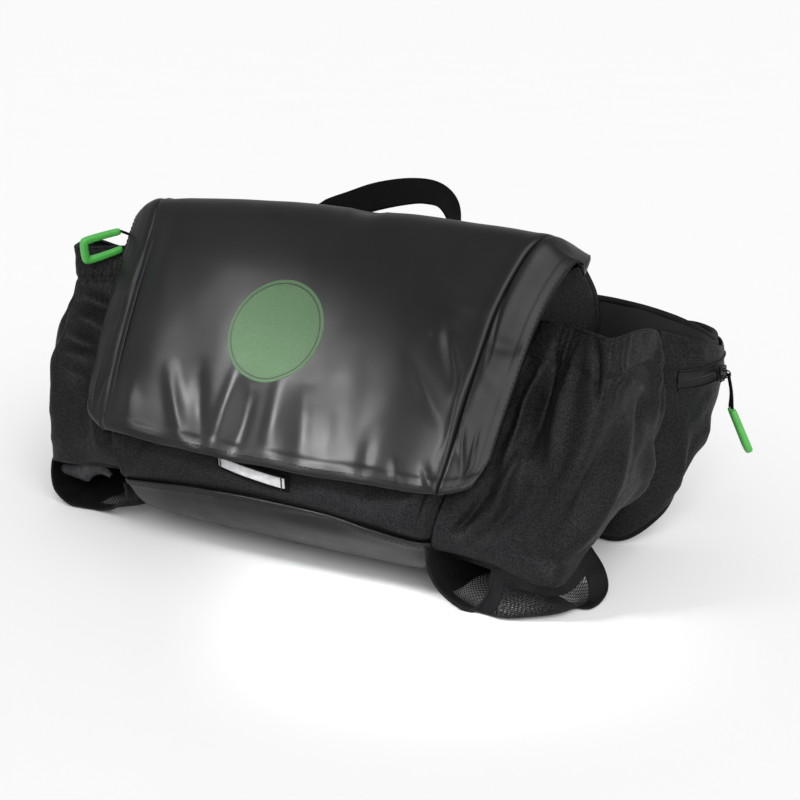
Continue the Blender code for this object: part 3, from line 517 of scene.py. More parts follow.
def between(rows, at):
    """The row at this share: a smooth curve through the rows, whose first column is the share."""
    at = min(max(at, rows[0][0]), rows[-1][0])
    i = max(k for k in range(len(rows) - 1) if rows[k][0] <= at)
    before, low, high, after = (rows[min(max(k, 0), len(rows) - 1)] for k in (i - 1, i, i + 1, i + 2))
    span = high[0] - low[0]
    t = (at - low[0]) / span
    values = []
    for a, b, c, d in zip(before, low, high, after):
        slope_low = (c - a) / (high[0] - before[0]) * span
        slope_high = (d - b) / (after[0] - low[0]) * span
        values.append(
            (2 * t**3 - 3 * t**2 + 1) * b
            + (t**3 - 2 * t**2 + t) * slope_low
            + (3 * t**2 - 2 * t**3) * c
            + (t**3 - t**2) * slope_high
        )
    return type(low)(*values)


def shares(count, start=0.0, stop=1.0):
    """Evenly spaced shares from start to stop, both included."""
    return [start + (stop - start) * i / (count - 1) for i in range(count)]


def bent(value, power):
    """The value's size raised to a power, with its sign kept."""
    return math.copysign(abs(value) ** power, value)


def turns(count):
    """Evenly spaced angles round a full turn."""
    return [2 * math.pi * k / count for k in range(count)]


PathPoint = namedtuple("PathPoint", "at x y z")


def smooth_path(points, count):
    """Points spread along a smooth curve through the given ones."""
    rows = [PathPoint(i / (len(points) - 1), *point) for i, point in enumerate(points)]
    return [Vector(between(rows, at)[1:]) for at in shares(count)]


def rounded(start, corner, end, steps):
    """A rounded corner from start to end."""
    return [start.lerp(corner, t).lerp(corner.lerp(end, t), t) for t in shares(steps + 1)]


def bag_side_x(height, y):
    """How far out the bag's side stands at this height and depth."""
    row = between(BAG_ROWS, height / BAG_HEIGHT)
    front = -row.front * FRONT_REACH
    back = row.back * BACK_REACH
    share = min(max((y - front) / (back - front), 0), 1)
    return row.half_front * FRONT_HALF_WIDTH * (1 - share) + row.half_back * BACK_HALF_WIDTH * share


def bag_front_y(height, x):
    """The depth of the bag's front at this height."""
    row = between(BAG_ROWS, height / BAG_HEIGHT)
    half = row.half_front * FRONT_HALF_WIDTH
    return -row.front * FRONT_REACH - FRONT_BOW * (1 - (x / half) ** 2)


def flap_point(run, across, lift=0.0):
    """A point on the flap. across is -2 to 2: the side seams are at 1 and the edges at 2."""
    run *= 1 - HEM_RISE * max(abs(across) - 1, 0) ** 1.5
    row = between(FLAP_ROWS, run)
    back = between(FLAP_ROWS, max(run - SLOPE_STEP, 0))
    ahead = between(FLAP_ROWS, min(run + SLOPE_STEP, 1))
    forward = (ahead.reach - back.reach) * FLAP_REACH
    along = Vector((0, -forward, (ahead.height - back.height) * FLAP_HEIGHT)).normalized()
    normal = along.cross(Vector((1, 0, 0))).normalized()
    inner = min(abs(across), 1)
    outer = max(abs(across) - 1, 0)
    half = row.half * FLAP_HALF_WIDTH
    edge = row.edge * FLAP_EDGE_HALF_WIDTH
    x = math.copysign(inner * half + outer * (edge - half), across) - row.shift * FLAP_SHIFT
    bend = STRIP_BENDS[1 if across > 0 else -1]
    rise = row.crown * FLAP_CROWN * (1 - inner**2) - row.set_back * FLAP_EDGE_SET_BACK * outer**bend
    gather = GATHER_DEPTH * max(run - 0.6, 0) / 0.4 * math.sin(2 * math.pi * x / GATHER_PITCH)
    drop = HEM_DROP * (1 - inner**2) * max(run - 0.85, 0) / 0.15
    point = Vector((x, -row.reach * FLAP_REACH, row.height * FLAP_HEIGHT))
    return point + along * drop + normal * (rise + gather * (1 - outer) + lift)


def wing_face(run, share, sign, side=1, lift=0.0):
    """A point on a wing. share is -1 at its low edge and 1 at its top, side 1 is its outer face."""
    row = between(WING_ROWS, run)
    back = between(WING_ROWS, max(run - SLOPE_STEP, 0))
    ahead = between(WING_ROWS, min(run + SLOPE_STEP, 1))
    along = Vector(((ahead.x - back.x) * WING_SPAN, (ahead.y - back.y) * WING_BACK, 0)).normalized()
    out = Vector((along.y, -along.x, 0))
    low = row.low * WING_HEIGHT
    high = row.high * WING_HEIGHT
    z = low + (high - low) * (share + 1) / 2
    half = WING_THICKNESS * row.thick / 2 * max(1 - abs(share) ** 6, 0) ** 0.5
    offset = side * half - row.lean * WING_LEAN * (1 - share) / 2 + lift * side
    point = Vector((row.x * WING_SPAN, row.y * WING_BACK, z)) + out * offset
    return Vector((sign * point.x, point.y, point.z))


def wing_middle(run, share, sign):
    """A point midway between a wing's two faces."""
    return (wing_face(run, share, sign) + wing_face(run, share, sign, side=-1)) / 2


def halved(low, high, place_at, axis, goal):
    """The place between low and high whose coordinate on this axis reaches the goal, by halving."""
    for _ in range(30):
        middle = (low + high) / 2
        point = place_at(middle)
        low, high = (middle, high) if point[axis] < goal else (low, middle)
    return point


def wing_outer_y(x, height):
    """The depth of the wing's outer face at this distance from the middle, along its root half."""

    def face_at(run):
        """The wing's outer face this far along, at the wanted height."""
        row = between(WING_ROWS, run)
        share = 2 * (height - row.low * WING_HEIGHT) / ((row.high - row.low) * WING_HEIGHT) - 1
        return wing_face(run, min(max(share, -0.9), 0.9), 1)

    return halved(0.0, WING_ROOT_END, face_at, 0, x).y


def wing_bulge(run, share, start, length):
    """How far a wing's pocket stands out, where it starts this far along the wing."""
    return WING_POCKET_BULGE * max(math.sin(math.pi * (run - start) / length), 0) * max(1 - share**2, 0)


def wing_pocket_point(run, share, sign, lift=0.0):
    """A point on the solid wing pocket's skin: share runs from its low edge to its top."""
    up = WING_POCKET_LOW + (share + 1) / 2 * WING_POCKET_RISE
    return wing_face(run, up, sign, lift=GAP + wing_bulge(run, share, *WING_POCKET_REACH) + lift)


def zip_point(run, sign, height, lift):
    """A point at this height on the wing pocket's outside."""

    def skin_at(share):
        """The pocket's outside at this share of its height."""
        return wing_pocket_point(run, share, sign, WING_POCKET_WALL + lift)

    return halved(-1.0, 1.0, skin_at, 2, height)


def pocket_row(height):
    """The bottle pocket's outline at this height."""
    return between(POCKET_ROWS, height / POCKET_HEIGHT)


def pocket_point(run, share, side):
    """A point on the pocket's wall: run goes from the bag to the wing, share from floor to rim."""
    rim_row = between(RIM_ROWS, run)
    low = rim_row.floor * POCKET_FLOOR + FOOT_LIFTS[side]
    sign = SIDES[side]
    rim = rim_row.rim * POCKET_HEIGHT + RIM_LIFTS[side]
    height = low + (rim - low) * share
    row = pocket_row(height)
    root_y = bag_front_y(height, FRONT_HALF_WIDTH) + 0.004 + row.root * POCKET_REACH
    root = Vector((bag_side_x(height, root_y) + CURVE_GAP, root_y, 0))
    corner = Vector((row.corner_x * POCKET_SPAN, -row.corner_y * POCKET_REACH, 0))
    flank = Vector((row.side_x * POCKET_SPAN, -row.side_y * POCKET_REACH, 0))
    end_x = row.end_x * POCKET_SPAN
    end = Vector((end_x, wing_outer_y(end_x, height) - 3 * GAP, 0))
    dent = root.lerp(corner, 0.45) + Vector((0, row.dent * POCKET_REACH, 0))
    Stop = namedtuple("Stop", "at x y")
    stops = (
        Stop(0.00, root.x, root.y),
        Stop(0.22, dent.x, dent.y),
        Stop(0.45, corner.x, corner.y),
        Stop(0.74, flank.x, flank.y),
        Stop(1.00, end.x, end.y),
    )
    stop = between(stops, run)
    return Vector((sign * stop.x, stop.y, height))


Skin = namedtuple("Skin", "runs acrosses points normals")


def normals_of(points, turn, ring):
    """The outward normal at each point of a grid; a ring's last column joins its first."""
    across = np.gradient(points, axis=1)
    if ring:
        wrapped = np.concatenate([points[:, -1:], points, points[:, :1]], axis=1)
        across = wrapped[:, 2:] - wrapped[:, :-2]
    normal = np.cross(np.gradient(points, axis=0), across) * turn
    return normal / np.maximum(np.linalg.norm(normal, axis=2, keepdims=True), 1e-12)


def make_skin(points, runs, acrosses, turn=1, heights=None, ring=False):
    """A grid of points with its normals, raised along them by the heights."""
    points = np.array(points, dtype=float)
    normals = normals_of(points, turn, ring)
    if heights is not None:
        points = points + normals * heights[:, :, None]
        normals = normals_of(points, turn, ring)
    return Skin(np.array(runs), np.array(acrosses), points, normals)


def fold_heights(folds, runs, acrosses, run_length, across_length):
    """How far each place of a grid stands out, from the folds that pass by it."""
    u, v = np.array(runs, dtype=float), np.array(acrosses, dtype=float)
    if u.ndim == 1:
        u, v = np.meshgrid(u, v, indexing="ij")
    u, v = u * run_length, v * across_length
    total = np.zeros(u.shape)
    for fold in folds:
        u0, v0 = fold.run * run_length, fold.across * across_length
        du, dv = fold.run_end * run_length - u0, fold.across_end * across_length - v0
        t = np.clip(((u - u0) * du + (v - v0) * dv) / (du**2 + dv**2), 0, 1)
        distance = (u - u0 - t * du) ** 2 + (v - v0 - t * dv) ** 2
        taper = np.sin(np.pi * (0.12 + 0.76 * t))
        total += fold.depth * MM * taper * np.exp(-distance / (fold.width * MM) ** 2)
    return total


def crumple(points, size, depth, seed):
    """Gentle unevenness of cloth: smooth noise with features of this size and depth."""
    shift = Vector((seed, seed * 0.7, -seed))
    rows = []
    for row in points:
        values = [Vector(point) / size + shift for point in row]
        rows.append([depth * (noise.noise(v) + 0.5 * noise.noise(v * 2.1)) for v in values])
    return np.array(rows)


def spot(skin, run, across, lift=0.0):
    """The point of a skin at this place, lifted off it, and the skin's normal there."""
    i = np.interp(run, skin.runs, range(len(skin.runs)))
    j = np.interp(across, skin.acrosses, range(len(skin.acrosses)))
    low_i = min(int(i), len(skin.runs) - 2)
    low_j = min(int(j), len(skin.acrosses) - 2)
    a, b = i - low_i, j - low_j

    def blend(values):
        """The mean of the four values round the place."""
        near = values[low_i, low_j] * (1 - a) + values[low_i + 1, low_j] * a
        far = values[low_i, low_j + 1] * (1 - a) + values[low_i + 1, low_j + 1] * a
        return Vector(near * (1 - b) + far * b)

    normal = blend(skin.normals).normalized()
    return blend(skin.points) + normal * lift, normal


def add_object(name, data, material=None):
    """An object in the scene with this mesh, light or camera."""
    obj = bpy.data.objects.new(name, data)
    if material:
        data.materials.append(material)
    bpy.context.scene.collection.objects.link(obj)
    return obj


def add_mesh(name, vertices, faces, material):
    """A smooth-shaded object with its faces turned outwards."""
    mesh = bpy.data.meshes.new(name)
    mesh.from_pydata([tuple(vertex) for vertex in vertices], [], faces)
    bm = bmesh.new()
    bm.from_mesh(mesh)
    bmesh.ops.recalc_face_normals(bm, faces=bm.faces[:])
    bm.to_mesh(mesh)
    bm.free()
    mesh.shade_smooth()
    return add_object(name, mesh, material)


def shell(name, skin, material, wall, ring=False, cap=False):
    """Cloth of this thickness behind a skin, with rounded edges; cap closes a ring's first row."""
    rows, columns = skin.points.shape[:2]
    count = rows * columns
    inner = skin.points - skin.normals * wall
    vertices = list(skin.points.reshape(-1, 3)) + list(inner.reshape(-1, 3))
    faces = []
    for i in range(rows - 1):
        for j in range(columns if ring else columns - 1):
            k = (j + 1) % columns
            face = (i * columns + j, i * columns + k, (i + 1) * columns + k, (i + 1) * columns + j)
            faces.append(face)
            faces.append(tuple(count + corner for corner in reversed(face)))
    last = columns - 1
    if ring:
        edges = [[(i, j) for j in range(columns)] for i in ((rows - 1,) if cap else (0, rows - 1))]
    else:
        edge = [(0, j) for j in range(last)] + [(i, last) for i in range(rows - 1)]
        edge += [(rows - 1, j) for j in range(last, 0, -1)] + [(i, 0) for i in range(rows - 1, 0, -1)]
        edges = [edge]
    for edge in edges:
        start = len(vertices)
        for i, j in edge:
            inside = skin.points[min(max(i, 1), rows - 2), j if ring else min(max(j, 1), last - 1)]
            away = skin.points[i, j] - inside
            middle = (skin.points[i, j] + inner[i, j]) / 2
            vertices.append(middle + away / np.linalg.norm(away) * wall / 2)
        for at, (i, j) in enumerate(edge):
            after = (at + 1) % len(edge)
            here, there = i * columns + j, edge[after][0] * columns + edge[after][1]
            faces.append((here, there, start + after, start + at))
            faces.append((start + at, start + after, count + there, count + here))
    if cap:
        faces.append(tuple(range(columns)))
        faces.append(tuple(count + j for j in reversed(range(columns))))
    return add_mesh(name, vertices, faces, material)


def sleeve(name, rings, material, cyclic=False):
    """Skins a list of closed rings of points, with flat ends."""
    count = len(rings[0])
    vertices = [point for ring in rings for point in ring]
    faces = []
    for i in range(len(rings) if cyclic else len(rings) - 1):
        for j in range(count):
            k = (j + 1) % count
            low, high = i * count, (i + 1) % len(rings) * count
            faces.append((low + j, low + k, high + k, high + j))
    if not cyclic:
        faces.append(tuple(range(count)))
        faces.append(tuple(range(len(vertices) - count, len(vertices))))
    return add_mesh(name, vertices, faces, material)


def tube(name, points, radius, material, cyclic=False, flatten=1.0):
    """A cord, piping or tape along the points, round unless it is flattened."""
    rings = []
    side = None
    for i, point in enumerate(points):
        after = points[(i + 1) % len(points)] if cyclic else points[min(i + 1, len(points) - 1)]
        ahead = (after - points[max(i - 1, 0) if not cyclic else i - 1]).normalized()
        side = ahead.orthogonal() if side is None else side - ahead * side.dot(ahead)
        side.normalize()
        up = ahead.cross(side)
        angles = turns(TUBE_SIDES)
        rings.append([point + radius * (side * math.cos(a) + up * math.sin(a) * flatten) for a in angles])
    return sleeve(name, rings, material, cyclic)


Thread = namedtuple("Thread", "pitch length radius")
SEAM_THREAD = Thread(STITCH_PITCH, STITCH_LENGTH, STITCH_RADIUS)
ZIP_THREAD = Thread(0.0028, 0.0020, STITCH_RADIUS)
TACK_THREAD = Thread(0.0014, 0.0014, 0.00042)
ZIP_COIL = Thread(0.0013, 0.0009, 0.0008)


def stitch_row(name, path, material, thread=SEAM_THREAD):
    """Separate raised stitches along a path of (point, normal) pairs, as one mesh."""
    travelled = [0.0]
    for (here, _), (there, _) in zip(path, path[1:]):
        travelled.append(travelled[-1] + (there - here).length)
    points = np.array([point for point, _ in path])
    normals = np.array([normal for _, normal in path])
    vertices = []
    faces = []
    for number in range(int((travelled[-1] - thread.length) / thread.pitch) + 1):
        start = number * thread.pitch
        ends = []
        for at in (start, start + thread.length):
            ends.append(Vector([np.interp(at, travelled, points[:, axis]) for axis in range(3)]))
        normal = Vector([np.interp(start, travelled, normals[:, axis]) for axis in range(3)])
        ahead = (ends[1] - ends[0]).normalized()
        side = ahead.cross(normal).normalized()
        base = len(vertices)
        for share, swell in ((0.0, 0.35), (0.2, 0.95), (0.8, 0.95), (1.0, 0.35)):
            centre = ends[0].lerp(ends[1], share)
            for angle in turns(STITCH_SIDES):
                around = side * math.cos(angle) + normal * math.sin(angle)
                vertices.append(centre + around * thread.radius * swell)
        for low in (base, base + STITCH_SIDES, base + 2 * STITCH_SIDES):
            for k in range(STITCH_SIDES):
                after = (k + 1) % STITCH_SIDES
                faces.append((low + k, low + after, low + STITCH_SIDES + after, low + STITCH_SIDES + k))
        faces.append(tuple(base + k for k in range(STITCH_SIDES)))
        faces.append(tuple(base + 3 * STITCH_SIDES + k for k in range(STITCH_SIDES)))
    return add_mesh(name, vertices, faces, material)


def line(start, end, count=40):
    """Places in a straight line from one (run, across) to another."""
    return [tuple(a + (b - a) * t for a, b in zip(start, end)) for t in shares(count)]


def webbing_strap(name, centres, width_axes, width, thickness, material, ribs=7):
    """A flat webbing along centres, with ribs along its length and rounded edges."""
    rings = []
    columns = ribs * 4 + 1
    for i, (centre, axis) in enumerate(zip(centres, width_axes)):
        ahead = centres[min(i + 1, len(centres) - 1)] - centres[max(i - 1, 0)]
        side = axis.normalized()
        up = ahead.cross(axis).normalized()
        faces = []
        for sign in (1, -1):
            row = []
            for share in shares(columns, -1, 1):
                full = thickness / 2 * (1 - abs(share) ** 10) ** 0.5
                rib = RIB_DEPTH * (0.5 + 0.5 * math.cos(math.pi * ribs * (share + 1))) * (1 - share**8)
                row.append(centre + side * share * sign * width / 2 + up * sign * (full - rib))
            faces.append(row[:-1])
        rings.append(faces[0] + faces[1])
    return sleeve(name, rings, material)


def sew(name, skin, places, look):
    """A seam's stitches on a skin, through these (run, across) places."""
    path = [spot(skin, run, across, STITCH_LIFT) for run, across in places]
    dress(stitch_row(name, path, look["thread"]), "binding_tape")


def dress(obj, slot, *nodes):
    """Fixes a piece to the body and hides the solids that it stands for; its slot is not used."""
    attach(obj, "root")
    if nodes:
        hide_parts(*nodes)
    return obj


class Finish:
    """A material whose nodes read the object's own coordinates, in metres."""

    def __init__(self, name, colour, roughness, metallic=0.0, sheen=0.0, specular=0.5):
        self.material = bpy.data.materials.new(name)
        self.material.use_nodes = True
        self.nodes = self.material.node_tree.nodes
        self.links = self.material.node_tree.links
        self.shader = self.nodes["Principled BSDF"]
        for socket, value in (
            ("Base Color", (*colour, 1)), ("Roughness", roughness), ("Metallic", metallic),
            ("Sheen Weight", sheen), ("Specular IOR Level", specular),
        ):
            self.shader.inputs[socket].default_value = value
        self.place = self.nodes.new("ShaderNodeTexCoord").outputs["Object"]
        self.normal = None

    def node(self, kind, **inputs):
        """A new node, whose inputs hold these values or follow these outputs."""
        node = self.nodes.new("ShaderNode" + kind)
        for name, value in inputs.items():
            socket = node.inputs[name.replace("_", " ")]
            if isinstance(value, bpy.types.NodeSocket):
                self.links.new(value, socket)
            else:
                socket.default_value = value
        return node

    def noise(self, size):
        """Smooth noise whose features are about this size."""
        return self.node("TexNoise", Scale=1 / size, Detail=2.0, Vector=self.place).outputs["Fac"]

    def cells(self, size, stretch=None, randomness=1.0):
        """Rounded cells about this size."""
        place = self.place
        if stretch:
            place = self.node("Mapping", Scale=stretch, Vector=place).outputs["Vector"]
        node = self.node("TexVoronoi", Randomness=randomness, Scale=1 / size, Vector=place)
        return node.outputs["Distance"]

    def ridges(self, size, direction):
        """Fine parallel ridges, size apart, across one of the axes."""
        node = self.node("TexWave", Scale=0.314 / size, Distortion=0.6, Vector=self.place)
        node.bands_direction = direction
        return node.outputs["Fac"]

    def tint(self, value, dark, light, start=0.0, stop=1.0):
        """Colours the surface from dark to light by a value."""
        ramp = self.node("ValToRGB", Fac=value)
        for element, position, colour in zip(ramp.color_ramp.elements, (start, stop), (dark, light)):
            element.position = position
            element.color = (*colour, 1)
        self.links.new(ramp.outputs["Color"], self.shader.inputs["Base Color"])

    def shine(self, value, low, high, start=0.3, stop=0.7):
        """Roughness from low to high, as the value goes from start to stop."""
        span = self.node("MapRange", From_Min=start, From_Max=stop, To_Min=low, To_Max=high, Value=value)
        self.links.new(span.outputs["Result"], self.shader.inputs["Roughness"])

    def bump(self, value, depth, strength=1.0):
        """Relief from a value, on top of the relief so far."""
        node = self.node("Bump", Strength=strength, Distance=depth, Height=value)
        if self.normal:
            self.links.new(self.normal, node.inputs["Normal"])
        self.normal = node.outputs["Normal"]
        self.links.new(self.normal, self.shader.inputs["Normal"])


def make_finishes():
    """The materials by name."""
    coated = Finish("coated_cloth_look", (0.010, 0.010, 0.011), 0.38, specular=0.26)
    coated.tint(coated.noise(0.06), (0.0058, 0.0058, 0.0065), (0.0082, 0.0082, 0.0090), 0.35, 0.65)
    coated.shine(coated.noise(0.02), 0.36, 0.43)
    coated.bump(coated.noise(0.0011), 0.00008, 0.45)

    textured = Finish("textured_nylon_look", (0.012, 0.012, 0.013), 0.6, specular=0.18)
    grain = textured.cells(0.00095)
    textured.tint(grain, (0.020, 0.020, 0.022), (0.0026, 0.0026, 0.0032), 0.12, 0.60)
    textured.shine(textured.noise(0.0015), 0.48, 0.68)
    textured.bump(grain, -0.00020, 0.8)
    textured.bump(textured.noise(0.0006), 0.00006, 0.5)

    padded = Finish("padded_cloth_look", (0.011, 0.011, 0.012), 0.8, sheen=0.02, specular=0.16)
    padded.tint(padded.noise(0.03), (0.007, 0.007, 0.0076), (0.0105, 0.0105, 0.0113), 0.35, 0.65)
    padded.bump(padded.cells(0.0008), 0.00012, 0.6)

    airmesh = Finish("air_mesh_look", (0.012, 0.012, 0.013), 0.85, sheen=0.05, specular=0.2)
    holes = airmesh.cells(0.0036, (1.0, 1.0, 0.72), randomness=0.12)
    # The recessed holes are painted darker than the mesh round them: painted shade
    airmesh.tint(holes, (0.003, 0.003, 0.003), (0.016, 0.016, 0.017), 0.18, 0.46)
    airmesh.bump(holes, 0.0007, 0.9)
    airmesh.bump(airmesh.noise(0.0005), 0.0001, 0.4)

    net = Finish("net_look", (0.012, 0.012, 0.013), 0.7, specular=0.25)
    net.tint(net.noise(0.004), (0.010, 0.010, 0.011), (0.018, 0.018, 0.019), 0.35, 0.65)
    net.bump(net.noise(0.0004), 0.0001, 0.6)

    tape = Finish("binding_tape_look", (0.010, 0.010, 0.011), 0.75, sheen=0.01, specular=0.12)
    tape.tint(tape.noise(0.008), (0.0045, 0.0045, 0.0052), (0.0078, 0.0078, 0.0086), 0.35, 0.65)
    tape.bump(tape.ridges(0.0009, "X"), 0.00010, 0.6)
    tape.bump(tape.ridges(0.0009, "Z"), 0.00010, 0.6)

    webbing = Finish("webbing_look", (0.003, 0.003, 0.003), 0.8, specular=0.08)
    webbing.tint(webbing.cells(0.0011), (0.0048, 0.0048, 0.0050), (0.0016, 0.0016, 0.0018), 0.1, 0.7)
    webbing.bump(webbing.cells(0.0011), -0.00022, 0.8)
    webbing.bump(webbing.noise(0.0004), 0.0001, 0.5)

    zip_tape = Finish("zip_tape_look", (0.006, 0.006, 0.007), 0.6, specular=0.25)
    zip_tape.tint(zip_tape.noise(0.006), (0.005, 0.005, 0.006), (0.009, 0.009, 0.010), 0.35, 0.65)
    zip_tape.bump(zip_tape.cells(0.0007), 0.00012, 0.7)

    # The folded net strip: the net made lighter, as painted light for a strip lit at a grazing angle
    ribbed_painted_light = Finish("ribbed_net_painted_light_look", (0.035, 0.035, 0.038), 0.6, specular=0.3)
    ribbed_painted_light.tint(ribbed_painted_light.noise(0.004), (0.050, 0.050, 0.054), (0.072, 0.072, 0.076), 0.35, 0.65)
    ribbed_painted_light.bump(ribbed_painted_light.noise(0.0004), 0.0001, 0.5)

    thread = Finish("thread_look", (0.010, 0.010, 0.011), 0.5, specular=0.3)
    thread.tint(thread.noise(0.002), (0.008, 0.008, 0.009), (0.014, 0.014, 0.015), 0.35, 0.65)
    thread.bump(thread.noise(0.0003), 0.00006, 0.6)

    badge = Finish("badge_green_look", (0.090, 0.175, 0.085), 0.6, specular=0.15)
    badge.tint(badge.noise(0.0012), (0.066, 0.120, 0.062), (0.082, 0.146, 0.077), 0.3, 0.7)
    badge.shine(badge.noise(0.01), 0.54, 0.66)
    badge.bump(badge.noise(0.0009), 0.00006, 0.5)

    ring_print = Finish("badge_ring_look", (0.014, 0.022, 0.014), 0.5)
    ring_print.tint(ring_print.noise(0.003), (0.011, 0.017, 0.011), (0.018, 0.027, 0.018), 0.3, 0.7)
    ring_print.bump(ring_print.noise(0.0008), 0.00005, 0.4)

    silver = Finish("reflective_tape_look", (0.55, 0.56, 0.57), 0.38, 0.25)
    silver.tint(silver.noise(0.004), (0.46, 0.46, 0.47), (0.60, 0.60, 0.61), 0.3, 0.7)
    silver.bump(silver.cells(0.0006), 0.00008, 0.5)

    metal = Finish("slider_metal_look", (0.022, 0.022, 0.023), 0.35, 0.75)
    metal.shine(metal.noise(0.002), 0.28, 0.45)
    metal.bump(metal.noise(0.0008), 0.00004, 0.4)

    plastic = Finish("buckle_plastic_look", (0.014, 0.014, 0.015), 0.42)
    plastic.shine(plastic.noise(0.006), 0.36, 0.50)
    plastic.bump(plastic.noise(0.0005), 0.00005, 0.5)

    grip = Finish("grip_green_look", (0.075, 0.46, 0.06), 0.42)
    grip.tint(grip.noise(0.006), (0.055, 0.34, 0.052), (0.068, 0.40, 0.062), 0.3, 0.7)
    grip.bump(grip.noise(0.0006), 0.00006, 0.5)

    pale = Finish("pale_floor_look", (0.92, 0.92, 0.92), 0.9, specular=0.2)
    pale.tint(pale.noise(0.3), (0.947, 0.947, 0.947), (0.953, 0.953, 0.953), 0.3, 0.7)

    named = {
        "coated": coated, "textured": textured, "padded": padded, "airmesh": airmesh, "net": net,
        "tape": tape, "webbing": webbing, "zip": zip_tape, "thread": thread, "badge": badge,
        "ring": ring_print, "silver": silver, "metal": metal, "plastic": plastic, "grip": grip,
        "pale": pale, "ribbed_painted_light": ribbed_painted_light,
    }
    return {name: finish.material for name, finish in named.items()}


def bag_half_outline(height, inset=0.0):
    """Points of the bag's outline at a height, from the middle of the front round +X to the back."""
    row = between(BAG_ROWS, height / BAG_HEIGHT)
    front = -row.front * FRONT_REACH + inset
    back = row.back * BACK_REACH - inset
    half_front = row.half_front * FRONT_HALF_WIDTH - inset
    half_back = row.half_back * BACK_HALF_WIDTH - inset
    corner = row.corner * FRONT_REACH
    front_corner = Vector((half_front, front, 0))
    back_corner = Vector((half_back, back, 0))
    side = (back_corner - front_corner).normalized() * corner
    points = []
    for share in (0, 0.4, 0.75):
        x = share * (half_front - corner)
        points.append(Vector((x, front - FRONT_BOW * (1 - (x / half_front) ** 2), 0)))
    start = front_corner - Vector((corner, 0, 0))
    points += rounded(start, front_corner, front_corner + side, 3)
    for share in (0.25, 0.5, 0.75):
        points.append((front_corner + side).lerp(back_corner - side, share))
    end = back_corner - Vector((corner, 0, 0))
    points += rounded(back_corner - side, back_corner, end, 3)
    points.append(Vector((end.x * 0.5, back, 0)))
    points.append(Vector((0, back, 0)))
    return [point + Vector((0, 0, height)) for point in points]


def bag_ring(heights, inset, count):
    """The bag's whole outline as a smooth ring, from the middle of the back round -X, +X and back."""
    half = [bag_half_outline(height, inset)[i] for i, height in enumerate(heights)]
    whole = [Vector((-p.x, p.y, p.z)) for p in reversed(half[1:])] + half
    return smooth_path(whole, count + 1)[:-1]


def base_seam_heights():
    """The height of the base's top edge at each point of the half outline."""
    half = bag_half_outline(BASE_SEAM_HEIGHT)
    heights = []
    for i, point in enumerate(half):
        rise = 1 - (point.x / half[FRONT_POINTS - 1].x) ** 2 if i < FRONT_POINTS else 0
        heights.append(BASE_SEAM_HEIGHT + BASE_SEAM_RISE * rise)
    return heights


def make_base(look):
    """The coated base: its floor, its rounded edge and its sides up to the seam."""
    seam = base_seam_heights()
    on_floor = len(BASE_FLOOR_LEVELS)
    levels = [*BASE_FLOOR_LEVELS] + [1.0] * BASE_ROWS
    rises = [0.0] * on_floor + [t**1.3 for t in shares(BASE_ROWS)]
    rings = []
    for level, rise in zip(levels, rises):
        ring = bag_ring([height * rise for height in seam], 0.0, BAG_COLUMNS)
        rings.append([Vector((p.x * level, p.y * level, p.z + FLOOR_LIFT)) for p in ring])
    rows = [0.1 * t for t in shares(on_floor)] + shares(BASE_ROWS, 0.12, 1)
    around = shares(BAG_COLUMNS + 1)[:-1]
    heights = fold_heights(BASE_FOLDS, rows, around, *BASE_CLOTH)
    heights += crumple(rings, size=0.045, depth=0.0008, seed=3.1) * (np.array(rises) > 0)[:, None]
    heights -= HEM_STEP * smooth_rise(np.array(rows)[:, None], 0.97, 0.90)
    heights += fringe(rows, around)
    skin = make_skin(rings, rows, around, turn=-1, heights=heights, ring=True)
    base = shell("base_cloth", skin, look["coated"], BASE_WALL, ring=True, cap=True)
    dress(base, "coated_cloth", "base_panel")
    sew("base_stitches", skin, [(BASE_STITCH_ROW, at) for at in shares(500, 0.27, 0.73)], look)


def smooth_rise(values, start, stop):
    """0 before start and 1 after stop, with a smooth step between; the two may be swapped."""
    t = np.clip((values - start) / (stop - start), 0, 1)
    return t * t * (3 - 2 * t)


def fringe(rows, around):
    """The turned edge of the base, standing over the cloth above it along the front."""
    edge = np.exp(-(((np.array(rows)[:, None] - 1.0) / 0.05) ** 2))
    front = np.exp(-(((np.array(around)[None, :] - 0.5) / 0.14) ** 2))
    return FRINGE_HEIGHT * edge * front


def make_main_body(look):
    """The textured walls of the main bag above the base."""
    seam = base_seam_heights()
    tucked = BASE_WALL + 2 * CURVE_GAP
    rings = []
    for rise, inset in ((-BASE_OVERLAP, tucked), (0.001, tucked), (0.004, GAP + 0.0006)):
        rings.append(bag_ring([height + rise for height in seam], inset, BAG_COLUMNS))
    for share in shares(BODY_ROWS):
        levels = [(height + 0.006) * (1 - share) + BAG_HEIGHT * share for height in seam]
        rings.append(bag_ring(levels, GAP, BAG_COLUMNS))
    rows = [-0.09, -0.04, -0.02] + shares(BODY_ROWS)
    around = shares(BAG_COLUMNS + 1)[:-1]
    heights = BODY_FOLD_GAIN * fold_heights(BODY_FOLDS, rows, around, *BODY_CLOTH)
    heights += crumple(rings, size=0.028, depth=0.0008, seed=8.4) * (np.array(rows) > 0)[:, None]
    skin = make_skin(rings, rows, around, turn=-1, heights=heights, ring=True)
    dress(shell("body_cloth", skin, look["textured"], BAG_WALL, ring=True), "textured_nylon", "main_body")
    return skin


